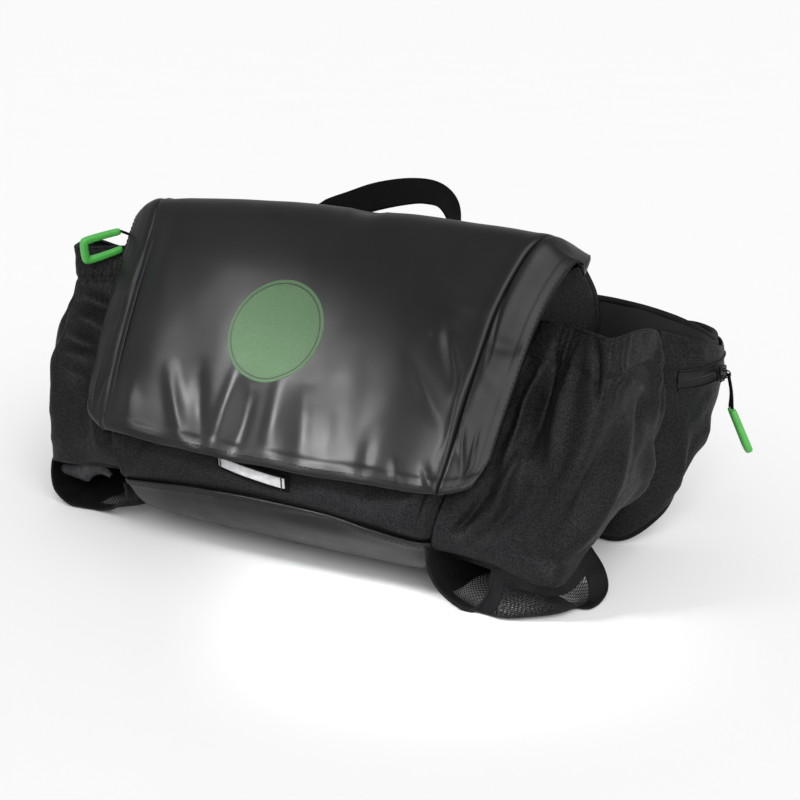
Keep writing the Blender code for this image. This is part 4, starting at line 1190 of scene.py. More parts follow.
def flap_heights(runs, acrosses, points, folds):
    """The flap's folds, its dipped seams, and the double cloth of its hem."""
    along, outwards = np.array(runs)[:, None], np.abs(np.array(acrosses))[None, :]
    half = FLAP_HALF_WIDTH * 0.9
    strip = (FLAP_EDGE_HALF_WIDTH - FLAP_HALF_WIDTH) * 0.95
    away = np.where(outwards > 1, (outwards - 1) * strip, (1 - outwards) * half)
    heights = FLAP_FOLD_GAIN * fold_heights(folds, runs, acrosses, FLAP_LENGTH, half)
    dips = np.where(np.array(acrosses)[None, :] > 0, SEAM_DIPS[1], SEAM_DIPS[-1])
    heights -= dips * np.exp(-((away / SEAM_WIDTH) ** 2))
    heights += 0.25 * dips * np.exp(-(((away - SEAM_SHOULDER) / SEAM_SHOULDER_WIDTH) ** 2))
    heights += crumple(points, size=0.060, depth=0.0008, seed=5.2)
    heights += crumple(points, size=0.020, depth=0.00022, seed=9.7) * smooth_rise(along, 0.55, 0.95)
    hem = HEM_WIDTH / FLAP_LENGTH
    heights += HEM_STEP * smooth_rise(along, 1 - hem - 0.012, 1 - hem)
    heights -= HEM_TURN * smooth_rise(along, 0.985, 1.0)
    return heights


def make_flap(look):
    """The flap's middle panel and its two side strips, with their seams, hem and stitches."""
    runs = shares(34, 0.0, 0.22) + shares(120, 0.226, 1.0)
    acrosses = shares(190, -0.999, 0.999)
    points = [[flap_point(run, across, FLAP_WALL) for across in acrosses] for run in runs]
    heights = flap_heights(runs, acrosses, points, FLAP_FOLDS)
    panel_skin = make_skin(points, runs, acrosses, heights=heights)
    panel = shell("flap_cloth", panel_skin, look["coated"], FLAP_WALL)
    dress(panel, "coated_cloth", "flap_panel")
    for side, sign in SIDES.items():
        points = []
        shares_out = shares(STRIP_COLUMNS)
        start = STRIP_STARTS[sign]
        for run in runs:
            trim = 0.25 * max(run - 0.93, 0) / 0.07
            outs = [start + (2.0 - trim - start) * share for share in shares_out]
            points.append([flap_point(run, sign * out, FLAP_WALL - STRIP_TUCKS[sign]) for out in outs])
        outs = [start + (2.0 - start) * share for share in shares_out]
        folds = STRIP_FOLDS
        if side == "left":
            folds = [fold._replace(depth=fold.depth * LEFT_STRIP_FOLD_GAIN) for fold in folds]
        heights = flap_heights(runs, outs, points, folds)
        edge = np.array(shares_out)[None, :]
        hem = 0.4 * HEM_STEP * smooth_rise(edge, 0.72, 0.76)
        heights += hem - STRIP_HEM_TURN * smooth_rise(edge, 0.94, 1.0)
        strip_skin = make_skin(points, runs, outs, turn=sign, heights=heights)
        strip = shell("strip_cloth_" + side, strip_skin, look["coated"], FLAP_WALL)
        dress(strip, "coated_cloth", "flap_strip_" + side)
        corner = (0.93, STRIP_HEM_ACROSS)
        places = line((0.14, STRIP_HEM_ACROSS), corner, 90) + line(corner, (0.982, 1.80), 14)
        places += line((0.982, 1.80), (STRIP_HEM_RUN, 1.04), 30)
        sew("strip_hem_stitches_" + side, strip_skin, places, look)
    places = line((FLAP_HEM_RUN, -0.985), (FLAP_HEM_RUN, 0.985), 190)
    sew("flap_hem_stitches", panel_skin, places, look)
    return panel_skin


def on_badge(flap, radius, angle, lift):
    """A point of the flap this far from the badge's middle, in this direction."""
    run_length = (flap_point(BADGE_RUN + 0.05, 0) - flap_point(BADGE_RUN - 0.05, 0)).length / 0.1
    run = BADGE_RUN - radius * math.sin(angle) / run_length
    row = between(FLAP_ROWS, run)
    across = (BADGE_X + row.shift * FLAP_SHIFT + radius * math.cos(angle)) / (row.half * FLAP_HALF_WIDTH)
    return spot(flap, run, across, lift)[0]


def make_badge(flap, look):
    """The printed green disc, and the thin dark ring inside its edge."""
    angles = turns(120)
    radii = [0.02, 0.2, 0.4, 0.6, 0.75, 0.88, 0.97, 0.995, 1.0]
    lifts = [PRINT_LIFT] * 7 + [PRINT_LIFT * 0.7, 0.0]
    rings = []
    for share, lift in zip(radii, lifts):
        rings.append([on_badge(flap, share * BADGE_RADIUS, angle, lift) for angle in angles])
    skin = make_skin(rings, radii, angles, turn=1, ring=True)
    disc = shell("badge_print", skin, look["badge"], PRINT_LIFT / 2, ring=True, cap=True)
    dress(disc, "badge_green", "flap_badge")
    rings = []
    for offset, lift in ((-0.5, 0.1), (-0.3, 1.6), (0.3, 1.6), (0.5, 0.1)):
        radius = RING_SHARE * BADGE_RADIUS + offset * RING_WIDTH
        rings.append([on_badge(flap, radius, angle, PRINT_LIFT * (1 + 0.3 * lift)) for angle in angles])
    skin = make_skin(rings, shares(4), angles, turn=1, ring=True)
    dress(shell("badge_ring", skin, look["ring"], PRINT_LIFT / 3, ring=True), "badge_green")


def front_of(skin, x, z):
    """How far forward a skin stands at this place, evened over a few millimetres."""
    points = skin.points.reshape(-1, 3)
    points = points[points[:, 1] < 0]
    weights = np.exp(-((points[:, 0] - x) ** 2 + (points[:, 2] - z) ** 2) / (3 * MM) ** 2)
    return float((points[:, 1] * weights).sum() / weights.sum())


def make_light_loop(body, look):
    """The silver loop for a clip-on light: a black webbing base, silver tape and its bar tacks."""
    stations = shares(25, -0.02, 1.02)
    depths = []
    for share in stations:
        z = LOOP_HEIGHT - (share - 0.5) * LOOP_TILT
        depths.append(front_of(body, LOOP_X + (share - 0.5) * LOOP_LENGTH, z))

    def place(share, wide, lift):
        """A point of the loop: its share along, its height from the middle, and its lift."""
        x = LOOP_X + (share - 0.5) * LOOP_LENGTH
        z = LOOP_HEIGHT - (share - 0.5) * LOOP_TILT + wide
        arch = math.sin(math.pi * min(max(share, 0), 1)) ** 0.6
        depth = float(np.interp(share, stations, depths)) - 0.0008 + wide * 0.15
        return Vector((x - wide * 0.14, depth - LOOP_STAND_OFF * arch - lift, z))

    for name, look_name, slot, span, half, lift in (
        ("loop_base", "webbing", "webbing", (-0.01, 1.01), LOOP_WIDTH / 2 + 0.0004, 0.0),
        ("loop_silver", "silver", "reflective_tape", (0.045, 0.955), LOOP_WIDTH * 0.33, 0.0006),
    ):
        runs = shares(60, *span)
        wides = shares(11, -half, half)
        points = [[place(run, wide, lift) for wide in wides] for run in runs]
        skin = make_skin(points, runs, wides, turn=1)
        piece = shell(name, skin, look[look_name], LOOP_WALL)
        dress(piece, slot, *(["light_loop"] if slot == "reflective_tape" else []))
    for end, share in (("left", 0.075), ("right", 0.925)):
        path = []
        for step in range(19):
            wide = (step / 18 - 0.5) * LOOP_WIDTH
            side = 0.010 if step % 2 else -0.010
            point = place(share + side, wide, 0.0010)
            path.append((point, Vector((0, -1, 0))))
        tack = stitch_row("loop_tack_" + end, path, look["thread"], TACK_THREAD)
        dress(tack, "binding_tape")


def make_handle(look):
    """The webbing grab handle behind the flap, which twists to stand on edge."""
    route = (
        (-0.066, 0.0508, 0.1670),
        (-0.066, 0.0522, 0.1780),
        (-0.062, 0.0565, 0.1880),
        (-0.050, 0.0600, 0.1955),
        (-0.032, 0.0610, 0.2025),
        (-0.012, 0.0610, 0.2100),
        (0.012, 0.0610, 0.2155),
        (0.031, 0.0610, 0.2165),
        (0.044, 0.0605, 0.2110),
        (0.051, 0.0575, 0.1990),
        (0.053, 0.0530, 0.1820),
        (0.052, 0.0508, 0.1670),
    )
    centres = smooth_path(route, 120)
    axes = []
    for i, centre in enumerate(centres):
        ahead = centres[min(i + 1, len(centres) - 1)] - centres[max(i - 1, 0)]
        turn = min(max((centre.z - HANDLE_TWIST_LOW) / (HANDLE_TWIST_HIGH - HANDLE_TWIST_LOW), 0), 1)
        angle = math.pi / 2 * turn * turn * (3 - 2 * turn)
        half = math.copysign(1, centre.x)
        flat = Vector((math.cos(angle), half * math.sin(angle), 0))
        axis = (flat - ahead * (flat.dot(ahead) / ahead.length_squared)).normalized() * half
        lean = math.radians(between(HANDLE_LEANS, i / (len(centres) - 1)).degrees) * turn
        axes.append(axis * math.cos(lean) + axis.cross(ahead.normalized()) * -math.sin(lean))
    handle = webbing_strap("handle_webbing", centres, axes, HANDLE_WIDTH, HANDLE_THICKNESS, look["webbing"])
    dress(handle, "webbing", "grab_handle")


def refine(points, rows, columns):
    """A finer grid through a coarse one."""
    wide = [smooth_path(row, columns) for row in points]
    tall = [smooth_path(column, rows) for column in zip(*wide)]
    return [list(row) for row in zip(*tall)]


def make_pocket(side, sign, look):
    """A bottle pocket: its floor, its folded wall, and the gathered elastic casing round its rim."""
    coarse = [[pocket_point(run, share, side) for share in shares(21)] for run in shares(33)]
    wall = refine(coarse, *POCKET_GRID)
    floor_shares = shares(9)[:-1]
    points = []
    for row in wall:
        foot = row[0]
        inner_y = foot.y + (0.018 - foot.y) * 0.12
        inner = Vector((sign * (bag_side_x(foot.z, inner_y) + CURVE_GAP), inner_y, foot.z))
        floor = [inner.lerp(foot, share) - Vector((0, 0, 0.001 * share)) for share in floor_shares]
        points.append(floor + row)
    runs = shares(POCKET_GRID[0])
    columns = [share - 1 for share in floor_shares] + shares(POCKET_GRID[1])
    up = np.array(columns)[None, :]
    along = np.array(runs)[:, None]
    on_wall = smooth_rise(up, 0.0, 0.12)
    folds = RIGHT_POCKET_FOLDS if sign > 0 else LEFT_POCKET_FOLDS
    heights = POCKET_FOLD_GAIN * fold_heights(folds, runs, columns, POCKET_LENGTH, POCKET_HEIGHT * 0.85)
    wrinkles = crumple(points, size=0.042, depth=0.0030, seed=2.7 + sign)
    heights += wrinkles + crumple(points, size=0.014, depth=0.0007, seed=6.1 + sign)
    wave = np.cos(2 * np.pi * (along * GATHERS + 0.6 * np.sin(along * 23 + sign)))
    near_casing = np.exp(-(((up - CASING_SHARE) / 0.10) ** 2))
    heights += GATHER_RELIEFS[side] * wave * (near_casing + 0.5 * smooth_rise(up, CASING_SHARE, 1.0))
    heights -= CASING_SEAM_DIP * np.exp(-(((up - CASING_SHARE) / 0.012) ** 2))
    casing = np.clip((up - CASING_SHARE) / (1 - CASING_SHARE), 0, 1)
    heights += CASING_FULLNESS * np.sin(np.pi * casing) ** 0.7
    ends = smooth_rise(along, 0.0, 0.05) * smooth_rise(along, 1.0, 0.96)
    heights = heights * on_wall * (0.25 + 0.75 * ends)
    skin = make_skin(points, runs, columns, turn=sign, heights=heights)
    pocket = shell("pocket_cloth_" + side, skin, look["textured"], POCKET_WALL)
    dress(pocket, "textured_nylon", "bottle_pocket_" + side)
    places = line((0.02, CASING_SHARE), (0.98, CASING_SHARE), 160)
    sew("casing_stitches_" + side, skin, places, look)
    rim = [spot(skin, run, 1.0, 0.0) for run in shares(110, 0.01, 0.99)]
    rim = [point - normal * POCKET_WALL / 2 for point, normal in rim]
    roll = tube("pocket_rim_" + side, rim, POCKET_ROLL_RADIUS, look["textured"])
    dress(roll, "textured_nylon")


def sling_cloth(side, sign, rows, columns):
    """A grid over a sling, from its front rim to its rear rim and from the bag round to the pocket."""
    loops = [[Vector((sign * x, y, z)) * MM for x, y, z in loop] for loop in SLING_LOOPS[side]]
    return refine(loops, rows, columns)


def make_sling(side, sign, look):
    """The net under a pocket, its solid bands and lining, and its bound rims."""
    rows, columns = NET_GRID
    grid = sling_cloth(side, sign, rows, columns)
    vertices = [point for row in grid for point in row]
    faces = []
    for i in range(1, rows - 1):
        for j in range(1, columns - 1):
            if (i + j) % 2:
                around = ((i - 1, j), (i, j + 1), (i + 1, j), (i, j - 1))
                faces.append(tuple(a * columns + b for a, b in around))
    mesh = bpy.data.meshes.new("sling_net_" + side)
    mesh.from_pydata(vertices, [], faces)
    bm = bmesh.new()
    bm.from_mesh(mesh)
    bmesh.ops.delete(bm, geom=[v for v in bm.verts if not v.link_faces], context="VERTS")
    bm.to_mesh(mesh)
    bm.free()
    net = add_object("sling_net_" + side, mesh, look["net"])
    strands = net.modifiers.new("Strands", "WIREFRAME")
    strands.thickness = NET_STRAND
    strands.use_even_offset = False
    strands.use_boundary = True
    dress(net, "mesh", "pocket_sling_" + side)
    fine = np.array([[tuple(point) for point in row] for row in sling_cloth(side, sign, *BAND_GRID)])
    last_row, last_column = BAND_GRID[0] - 1, BAND_GRID[1] - 1
    for solid in SLING_SOLIDS[side]:
        part = fine[int(solid.run * last_row):int(solid.run_end * last_row) + 1]
        part = part[:, int(solid.share * last_column):int(solid.share_end * last_column) + 1]
        skin = make_skin(part, shares(len(part)), shares(len(part[0])), turn=-sign)
        skin = skin._replace(points=skin.points + skin.normals * SLING_BAND_LIFT)
        # The right lining stands for the inner wall and the shade in it: partly painted shade
        band = shell(f"sling_{solid.name}_{side}", skin, look["tape"], SLING_BAND_WALL)
        dress(band, "binding_tape")
    for end, row, beside in (("front", fine[0], fine[1]), ("rear", fine[-1], fine[-2])):
        points = []
        for edge, inside in zip(row, beside):
            away = Vector(edge - inside).normalized()
            point = Vector(edge) + away * SLING_BINDING_RADIUS * 0.6
            point.z = max(point.z, SLING_BINDING_RADIUS + GAP)
            points.append(point)
        name = f"sling_binding_{end}_{side}"
        tape = tube(name + "_tape", points, SLING_TAPE_RADIUS, look["tape"], flatten=0.8)
        dress(tape, "binding_tape", name)
    if side == "left":
        edges = [smooth_path([Vector(point) * MM for point in edge], 90) for edge in NET_STRIP]
        rows = []
        for t in shares(7):
            bow = Vector((0, -0.002, 0)) * math.sin(math.pi * t)
            rows.append([low.lerp(high, t) + bow for low, high in zip(*edges)])
        ribs = np.array([[0.00022 * math.sin(2 * math.pi * k / 4.5) for k in range(90)]] * 7)
        strip = make_skin(rows, shares(7), shares(90), turn=1, heights=ribs)
        # The strip's lighter finish is painted light on the dark net
        dress(shell("sling_folded_strip_left", strip, look["ribbed_painted_light"], SLING_BAND_WALL), "mesh")


def make_wing(side, sign, look):
    """A padded wing with bound edges."""
    ups = [math.sin(math.pi / 2 * t) for t in shares(29, -1, 1)]
    runs = shares(90)
    rings = []
    for run in runs:
        outer = [wing_face(run, up, sign) for up in ups]
        inner = [wing_face(run, up, sign, side=-1) for up in reversed(ups[1:-1])]
        rings.append(outer + inner)
    columns = shares(len(rings[0]) + 1)[:-1]
    heights = crumple(rings, size=0.035, depth=0.0011, seed=4.4)
    heights += crumple(rings, size=0.014, depth=0.0004, seed=1.9)
    ends = np.array(runs)[:, None]
    heights *= smooth_rise(ends, 0.0, 0.06) * smooth_rise(ends, 1.0, 0.95)
    skin = make_skin(rings, runs, columns, turn=sign, heights=heights, ring=True)
    wing = sleeve("wing_pad_" + side, [list(row) for row in skin.points], look["padded"])
    dress(wing, "padded_cloth", "wing_" + side)
    for name, share in (("top", 1), ("low", -1)):
        edge = [wing_middle(run, share, sign) for run in shares(120, 0.01, 0.99)]
        dress(tube(f"wing_edge_{name}_{side}", edge, WING_PIPING_RADIUS, look["tape"]), "binding_tape")


def wing_run_at(x):
    """How far along a wing it stands this far out."""
    low, high = 0.0, WING_ROOT_END
    for _ in range(24):
        run = (low + high) / 2
        low, high = (run, high) if between(WING_ROWS, run).x * WING_SPAN < x else (low, run)
    return low


def wing_cloth_start(share):
    """Where a wing's pocket begins at this share of its height: at the bottle pocket's end."""
    height = WING_HEIGHT * (0.08 + 0.88 * (share + 1) / 2)
    foot = POCKET_ROWS[0].height * POCKET_HEIGHT
    return wing_run_at(pocket_row(max(height, foot)).end_x * POCKET_SPAN + 0.0015)


def make_wing_pocket(side, sign, look):
    """The zipped pocket on a wing, and its zip, slider, cord and grip."""
    coarse_rows = shares(25, WING_CLOTH_LOW, WING_CLOTH_HIGH)
    starts = [wing_cloth_start(share) for share in coarse_rows]
    coarse = []
    for t in shares(31):
        line_points = []
        for share, start in zip(coarse_rows, starts):
            run = start + (WING_CLOTH_END - start) * t
            lift = GAP + wing_bulge(run, share, *WING_CLOTH_REACH) + WING_POCKET_WALL
            line_points.append(wing_face(run, share, sign, lift=lift))
        coarse.append(line_points)
    runs = shares(WING_POCKET_GRID[0])
    rows = shares(WING_POCKET_GRID[1], WING_CLOTH_LOW, WING_CLOTH_HIGH)
    points = refine(coarse, *WING_POCKET_GRID)
    fine_starts = np.interp(rows, coarse_rows, starts)[None, :]
    reach = fine_starts + (WING_CLOTH_END - fine_starts) * np.array(runs)[:, None]
    ups = np.repeat(np.array(rows)[None, :], len(runs), axis=0)
    heights = WING_FOLD_GAIN * fold_heights(WING_FOLDS, reach, ups, WING_CLOTH_LENGTH, WING_HEIGHT * 0.40)
    wrinkles = crumple(points, size=0.026, depth=0.0013, seed=7.3)
    heights += wrinkles + crumple(points, size=0.010, depth=0.0004, seed=3.9)
    band = np.array([[abs(point.z - ZIP_HEIGHT) for point in row] for row in points])
    zipped = smooth_rise(reach, 0.35, 0.362) * smooth_rise(reach, 0.632, 0.62)
    heights *= 1 - 0.85 * np.exp(-((band / 0.011) ** 2)) * zipped
    heights -= ZIP_GROOVE * np.exp(-((band / (ZIP_WIDTH * 0.55)) ** 8)) * zipped
    heights *= smooth_rise(ups, WING_CLOTH_HIGH, WING_CLOTH_HIGH - 0.1)
    heights *= smooth_rise(ups, WING_CLOTH_LOW, -0.85)
    skin = make_skin(points, runs, rows, turn=sign, heights=heights)
    pocket = shell("wing_pocket_cloth_" + side, skin, look["textured"], WING_POCKET_WALL)
    dress(pocket, "textured_nylon", "wing_pocket_" + side)
    zip_runs = shares(60, ZIP_START, ZIP_END)

    def at_height(height, lift):
        """Points of the pocket's skin along the zip, at this height."""
        found = []
        for run in zip_runs:
            share = 0.3
            for _ in range(3):
                start = float(np.interp(share, coarse_rows, starts))
                t = (run - start) / (WING_CLOTH_END - start)
                i = int(round(t * (len(skin.runs) - 1)))
                share = float(np.interp(height, skin.points[i, :, 2], skin.acrosses))
            found.append(spot(skin, t, share, lift))
        return found

    for name, low, high in (("low", -0.5, -0.06), ("high", 0.06, 0.5)):
        levels = shares(7, low, high)
        points = []
        for level in levels:
            swell = 0.0007 + 0.0005 * math.exp(-(((abs(level) - 0.08) / 0.10) ** 2))
            points.append([point for point, _ in at_height(ZIP_HEIGHT + level * ZIP_WIDTH, swell)])
        points = [list(row) for row in zip(*points)]
        tape_skin = make_skin(points, zip_runs, levels, turn=sign)
        tape = shell(f"zip_tape_{name}_{side}", tape_skin, look["zip"], ZIP_TAPE_WALL)
        dress(tape, "zip_tape", *(["wing_zip_" + side] if name == "low" else []))
        offset = 0.42 if name == "high" else -0.42
        path = at_height(ZIP_HEIGHT + offset * ZIP_WIDTH, 0.0009)
        stitches = stitch_row(f"zip_stitches_{name}_{side}", path, look["thread"], ZIP_THREAD)
        dress(stitches, "binding_tape")
        welt = [point for point, _ in at_height(ZIP_HEIGHT + offset * 1.5 * ZIP_WIDTH, 0.0002)]
        dress(tube(f"zip_welt_{name}_{side}", welt, WELT_RADIUS, look["textured"]), "textured_nylon")
    coil = at_height(ZIP_HEIGHT, 0.0007)
    teeth = stitch_row("zip_coil_" + side, coil, look["plastic"], ZIP_COIL)
    dress(teeth, "zip_tape")

    base = zip_point(SLIDER_RUN, sign, ZIP_HEIGHT, CURVE_GAP + ZIP_THICKNESS)
    out = zip_point(SLIDER_RUN, sign, ZIP_HEIGHT, GAP + 0.01) - zip_point(SLIDER_RUN, sign, ZIP_HEIGHT, GAP)
    out = Vector((out.x, out.y, 0)).normalized()
    ring = base + out * (2 * GAP + SLIDER_SIZE[0] + CORD_RADIUS)
    top = ring + Vector((sign * 0.0036, 0, -0.0225))
    down, across = Vector((sign * 0.5, 0, -1)), Vector((-0.42 * sign, 0.88, 0))
    grip, arms = make_grip("pull_grip_" + side, top, down, across, look)
    make_cord("pull_cord_" + side, ring, Vector((sign * 0.0026, 0, -0.0115)), arms, look)
    make_slider("zip_slider_" + side, base, out, Vector((0, 0, 1)).cross(out), ring, look)


def make_body_puller(look):
    """The main zip's slider under the flap's edge, with its cord and grip."""
    ahead = 0.01
    x = -bag_side_x(BODY_SLIDER_HEIGHT, BODY_SLIDER_Y)
    turn = -bag_side_x(BODY_SLIDER_HEIGHT, BODY_SLIDER_Y + ahead) - x
    out = Vector((-ahead, turn, 0)).normalized()
    base = Vector((x, BODY_SLIDER_Y, BODY_SLIDER_HEIGHT)) + out * SLIDER_LEAN
    ring = base + out * (4 * GAP + SLIDER_SIZE[0] + CORD_RADIUS)
    down, across = Vector((-11, -23.5, -4.5)), Vector((0.134, -0.246, 0.959))
    grip, arms = make_grip("body_pull_grip", BODY_GRIP_TOP, down, across, look)
    make_cord("body_pull_cord", ring, Vector((-0.0090, -0.0130, 0.0118)), arms, look)
    make_slider("body_slider", base, out, Vector((-3, 0, 13)).normalized(), ring, look)


def make_grip(name, top, down, across, look):
    """A moulded U-shaped grip, fuller at its low end. Returns it and its arms' ends."""
    down = down.normalized() * GRIP_LENGTH
    across = (across - down * (across.dot(down) / down.length_squared)).normalized() * GRIP_WIDTH / 2
    points = [top + across * row.across + down * row.down for row in GRIP_ROWS]
    facing = down.cross(across).normalized()
    rings = []
    path = smooth_path(points, GRIP_POINTS)
    last = GRIP_POINTS - 1
    for i, point in enumerate(path):
        ahead = (path[min(i + 1, last)] - path[max(i - 1, 0)]).normalized()
        side = ahead.cross(facing).normalized()
        share = i / last
        full = GRIP_RADIUS * (1.10 + 0.15 * math.sin(math.pi * share) ** 2)
        full *= min(1, 0.70 + 12 * min(share, 1 - share)) ** 0.5
        ring = []
        for angle in turns(GRIP_SIDES):
            wide = bent(math.cos(angle), 0.65) * full
            deep = bent(math.sin(angle), 0.65) * full * 0.92
            ring.append(point + side * wide + facing * deep)
        rings.append(ring)
    grip = dress(sleeve(name + "_moulded", rings, look["grip"]), "grip_green", name)
    away = down.normalized() * (GAP + CORD_RADIUS * 0.4)
    return grip, (points[0] - away, points[-1] - away)


def make_cord(name, ring, drop, arms, look):
    """One cord from a grip's arm, through the slider's ring and back to the other arm."""
    spread = (arms[1] - arms[0]).normalized() * CORD_RADIUS * 1.3
    low = ring + drop
    ahead = -drop.normalized() * spread.length
    turn = [ring - spread * math.cos(a) + ahead * (math.sin(a) - 1) for a in RING_TURN]
    route = [arms[0], low - spread * 1.4, *turn, low + spread * 1.4, arms[1]]
    stops = []
    travelled = 0.0
    for before, point in zip([route[0], *route], route):
        travelled += (point - before).length
        stops.append(PathPoint(travelled, *point))
    path = [Vector(between(stops, travelled * share)[1:]) for share in shares(97)]
    cord = dress(tube(name + "_line", path, CORD_RADIUS * 0.94, look["webbing"]), "webbing", name)


def plate(name, outline, thickness, origin, right, up, material, bevel):
    """A moulded plate: a flat outline in the plane of right and up, with rounded edges."""
    facing = right.cross(up).normalized()
    bm = bmesh.new()
    layers = []
    for side in (-0.5, 0.5):
        places = [origin + right * a + up * b + facing * side * thickness for a, b in outline]
        layers.append([bm.verts.new(place) for place in places])
    bm.faces.new(tuple(reversed(layers[0])))
    bm.faces.new(layers[1])
    for k in range(len(outline)):
        j = (k + 1) % len(outline)
        bm.faces.new((layers[0][k], layers[0][j], layers[1][j], layers[1][k]))
    rims = [edge for edge in bm.edges if (edge.verts[0] in layers[0]) == (edge.verts[1] in layers[0])]
    bmesh.ops.bevel(bm, geom=rims, offset=bevel, segments=3, affect="EDGES", profile=0.5)
    bmesh.ops.recalc_face_normals(bm, faces=bm.faces[:])
    mesh = bpy.data.meshes.new(name)
    bm.to_mesh(mesh)
    bm.free()
    return add_object(name, mesh, material)


def make_slider(name, base, out, side, ring, look):
    """A zip slider: its shield-shaped body, its bridge, and the small ring that holds the cord."""
    up = out.cross(side).normalized()
    half_width, half_height = SLIDER_SIZE[1] / 2, SLIDER_SIZE[2] / 2
    shield = (
        (-0.55, -1.0), (0.55, -1.0), (0.80, -0.4), (1.0, 0.35), (0.86, 0.86), (0.40, 1.0),
        (0.0, 0.82), (-0.40, 1.0), (-0.86, 0.86), (-1.0, 0.35), (-0.80, -0.4),
    )
    outline = [(a * half_width, b * half_height) for a, b in shield]
    for part, depth in PLATE_DEPTHS.items():
        place = base + out * (GAP + depth)
        body = plate(f"{name}_{part}", outline, PLATE_THICKNESS, place, side, up, look["metal"], PLATE_BEVEL)
        dress(body, "slider_metal", *([name] if part == "upper" else []))
    arch = []
    for share in shares(17):
        rise = math.sin(math.pi * share) ** 0.5
        arch.append(base + out * (GAP + 0.0034 + 0.0022 * rise) + up * (share - 0.5) * half_height * 1.3)
    dress(tube(name + "_bridge", arch, SLIDER_BRIDGE_RADIUS, look["metal"]), "slider_metal")
    centre = ring - out * 0.0011
    turned = []
    for angle in turns(28):
        away = out * math.cos(angle) + side.cross(out) * math.sin(angle)
        turned.append(centre + away * SLIDER_RING_RADIUS)
    dress(tube(name + "_ring", turned, SLIDER_WIRE_RADIUS, look["metal"], cyclic=True), "slider_metal")


def make_back_pad(look):
    """Two cushions of air mesh with a channel between them, with sewn edges."""
    front_y = BACK_REACH + GAP

    def surface(up, across):
        """A point of the cushions' face."""
        edge = max(1 - abs(across) ** 14, 0) ** 0.5 * max(1 - abs(2 * up - 1) ** 18, 0) ** 0.5
        channel = 1 - 0.66 * math.exp(-((across * BACK_PAD_HALF_WIDTH / BACK_PAD_CHANNEL) ** 2))
        crown = 0.90 + 0.10 * math.cos(math.pi * (2 * up - 1) / 2)
        sewn = 1 - 0.20 * sum(math.exp(-(((up - at) / 0.018) ** 2)) for at in BACK_PAD_SEAMS)
        if abs(across) < 0.16:
            sewn = 1
        depth = BACK_PAD_THICKNESS * (0.12 + 0.88 * edge * channel * crown * sewn)
        z = BACK_PAD_LOW + (BACK_PAD_HIGH - BACK_PAD_LOW) * up
        return Vector((across * BACK_PAD_HALF_WIDTH, front_y + depth, z))

    ups = [0.5 - 0.5 * math.cos(math.pi * t) for t in shares(70)]
    acrosses = [math.sin(math.pi / 2 * t) for t in shares(111, -1, 1)]
    points = [[surface(up, across) for across in acrosses] for up in ups]
    heights = crumple(points, size=0.03, depth=0.0006, seed=6.6)
    skin = make_skin(points, ups, acrosses, turn=1, heights=heights)
    if skin.normals[35, 55, 1] < 0:
        skin = make_skin(points, ups, acrosses, turn=-1, heights=heights)
    rings = []
    for row in skin.points:
        front = [(x, front_y, z) for x, _, z in reversed(row[1:-1])]
        rings.append([tuple(point) for point in row] + front)
    pad = dress(sleeve("back_cushions", rings, look["airmesh"]), "padded_cloth", "back_pad")
    edge = []
    middle = (BACK_PAD_HIGH + BACK_PAD_LOW) / 2
    half = (BACK_PAD_HIGH - BACK_PAD_LOW) / 2
    for t in shares(181)[:-1]:
        a = 2 * math.pi * t
        x = bent(math.cos(a), 0.16)
        z = bent(math.sin(a), 0.16)
        edge.append(Vector((x * BACK_PAD_HALF_WIDTH, front_y + 0.0016, middle + z * half)))
    dress(tube("back_pad_edge", edge, PAD_PIPING_RADIUS, look["tape"], cyclic=True), "binding_tape")


def make_belt(side, sign, look):
    """The belt's webbing from a wing's tip to the buckle behind."""
    middle = wing_middle(1.0, 0, sign)
    buckle_end = BUCKLE_SIZE[0] / 2 + GAP
    start_x = abs(middle.x) - 0.0006
    route = []
    for share in shares(70):
        x = start_x + (buckle_end - start_x) * share
        y = middle.y + 0.0002 + (BELT_BACK - middle.y) * math.sin(math.pi / 2 * share)
        route.append(Vector((sign * x, y, BELT_HEIGHT)))
    up = [Vector((0, 0, 1))] * len(route)
    belt = webbing_strap("belt_webbing_" + side, route, up, BELT_WIDTH, BELT_THICKNESS, look["webbing"], 9)
    dress(belt, "webbing", "belt_" + side)


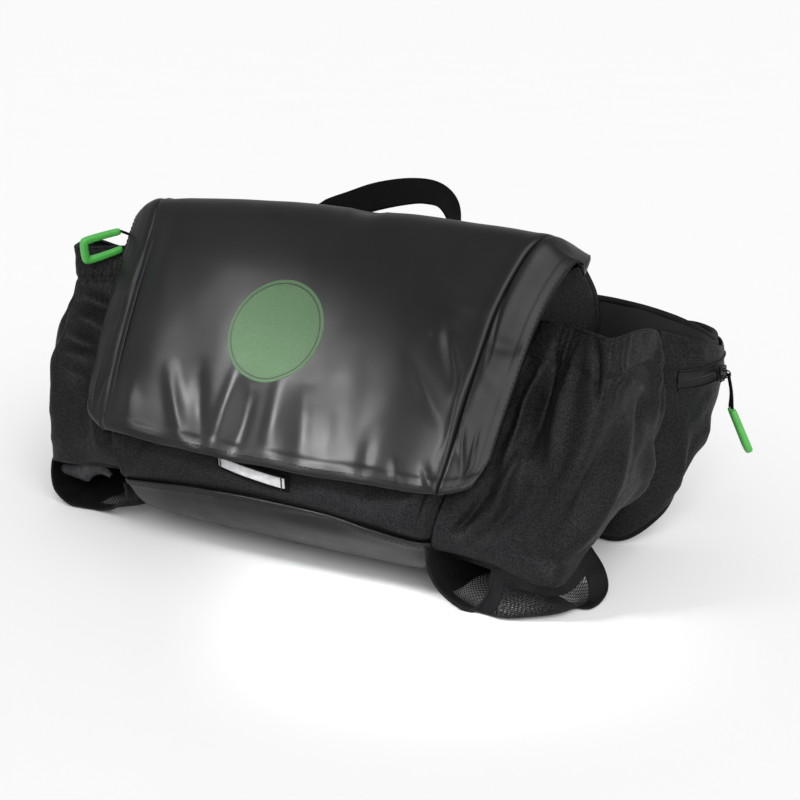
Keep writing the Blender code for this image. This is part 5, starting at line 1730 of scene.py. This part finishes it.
def make_buckle(look):
    """A side-release buckle: its socket, its plug, and the two latches in the socket's sides."""
    centre = Vector((0, BELT_BACK, BELT_HEIGHT))
    right, up = Vector((1, 0, 0)), Vector((0, 0, 1))
    half_length, half_height, depth = (BUCKLE_SIZE[0] / 2, BUCKLE_SIZE[2] / 2, BUCKLE_SIZE[1])
    socket = (
        (-0.20, -0.86), (0.10, -0.92), (0.20, -0.66), (0.46, -0.62), (0.56, -0.90), (0.86, -0.92),
        (1.0, -0.78), (1.0, 0.78), (0.86, 0.92), (0.56, 0.90), (0.46, 0.62), (0.20, 0.66),
        (0.10, 0.92), (-0.20, 0.86),
    )
    plug = ((-1.0, -0.80), (-0.90, -0.92), (-0.30, -0.90), (-0.24, -0.80), (-0.24, 0.80), (-0.30, 0.90),
            (-0.90, 0.92), (-1.0, 0.80))
    latch = ((0.13, 0.86), (0.22, 0.70), (0.44, 0.66), (0.52, 0.84), (0.46, 0.97), (0.34, 1.0), (0.20, 0.96))
    shapes = [("socket", socket, 1, 1.0), ("plug", plug, 1, 0.72), ("latch_top", latch, 1, 0.66)]
    shapes.append(("latch_low", latch, -1, 0.66))
    for part, outline, flip, share in shapes:
        places = [(a * half_length, b * half_height * flip) for a, b in outline]
        if flip < 0:
            places.reverse()
        piece = plate("buckle_" + part, places, depth * share, centre, right, up, look["plastic"], 0.0012)
        dress(piece, "buckle_plastic", *(["belt_buckle"] if part == "socket" else []))
    for number, x in enumerate((-0.80, -0.62, -0.44, 0.70, 0.84)):
        bar = [centre + right * x * half_length + up * t * half_height * 0.66 for t in shares(9, -1, 1)]
        lift = depth * (0.36 if x < 0 else 0.5)
        bar = [point + Vector((0, lift, 0)) for point in bar]
        dress(tube(f"buckle_ridge_{number}", bar, 0.0007, look["plastic"]), "buckle_plastic")


def make_stage(look):
    """A wide pale floor, a pale world and soft lights."""
    mesh = bpy.data.meshes.new("pale_floor")
    far = FLOOR_REACH
    mesh.from_pydata([(-far, -far, 0), (far, -far, 0), (far, far, 0), (-far, far, 0)], [], [(0, 1, 2, 3)])
    add_object("pale_floor", mesh, look["pale"])
    world = bpy.data.worlds.new("soft_white")
    world.use_nodes = True
    world.node_tree.nodes["Background"].inputs["Color"].default_value = (1, 1, 1, 1)
    world.node_tree.nodes["Background"].inputs["Strength"].default_value = WORLD_STRENGTH
    bpy.context.scene.world = world
    lamp = bpy.data.lights.new("flap_lamp", "AREA")
    lamp.shape = "RECTANGLE"
    lamp.size, lamp.size_y = LAMP_SIZE
    lamp.energy = LAMP_POWER
    lamp.spread = math.radians(LAMP_SPREAD)
    sun = bpy.data.lights.new("hazy_sun", "SUN")
    sun.energy = SUN_STRENGTH
    sun.angle = math.radians(SUN_ANGLE)
    for light, place, target in ((lamp, LAMP_PLACE, LAMP_TARGET), (sun, SUN_FROM, (0, 0, 0))):
        obj = add_object(light.name, light)
        obj.location = place
        obj.rotation_euler = (Vector(target) - Vector(place)).to_track_quat("-Z", "Y").to_euler()


def make_camera():
    """The camera at the photograph's viewing angle."""
    lens = bpy.data.cameras.new("photo_camera")
    lens.lens = CAMERA_LENS
    camera = add_object("photo_camera", lens)
    camera.location = CAMERA_PLACE
    camera.rotation_euler = (math.radians(90 - CAMERA_ELEVATION), 0, math.radians(CAMERA_AZIMUTH))
    bpy.context.scene.camera = camera
    bpy.context.scene.view_settings.view_transform = "Standard"


def main():
    """Everything in the scene, the pullers first."""
    make_camera()
    look = make_finishes()
    make_body_puller(look)
    for side, sign in SIDES.items():
        make_wing_pocket(side, sign, look)
    make_base(look)
    body = make_main_body(look)
    flap = make_flap(look)
    make_badge(flap, look)
    make_light_loop(body, look)
    make_handle(look)
    for side, sign in SIDES.items():
        make_pocket(side, sign, look)
        make_sling(side, sign, look)
        make_wing(side, sign, look)
        make_belt(side, sign, look)
    make_back_pad(look)
    make_buckle(look)
    make_stage(look)


main()
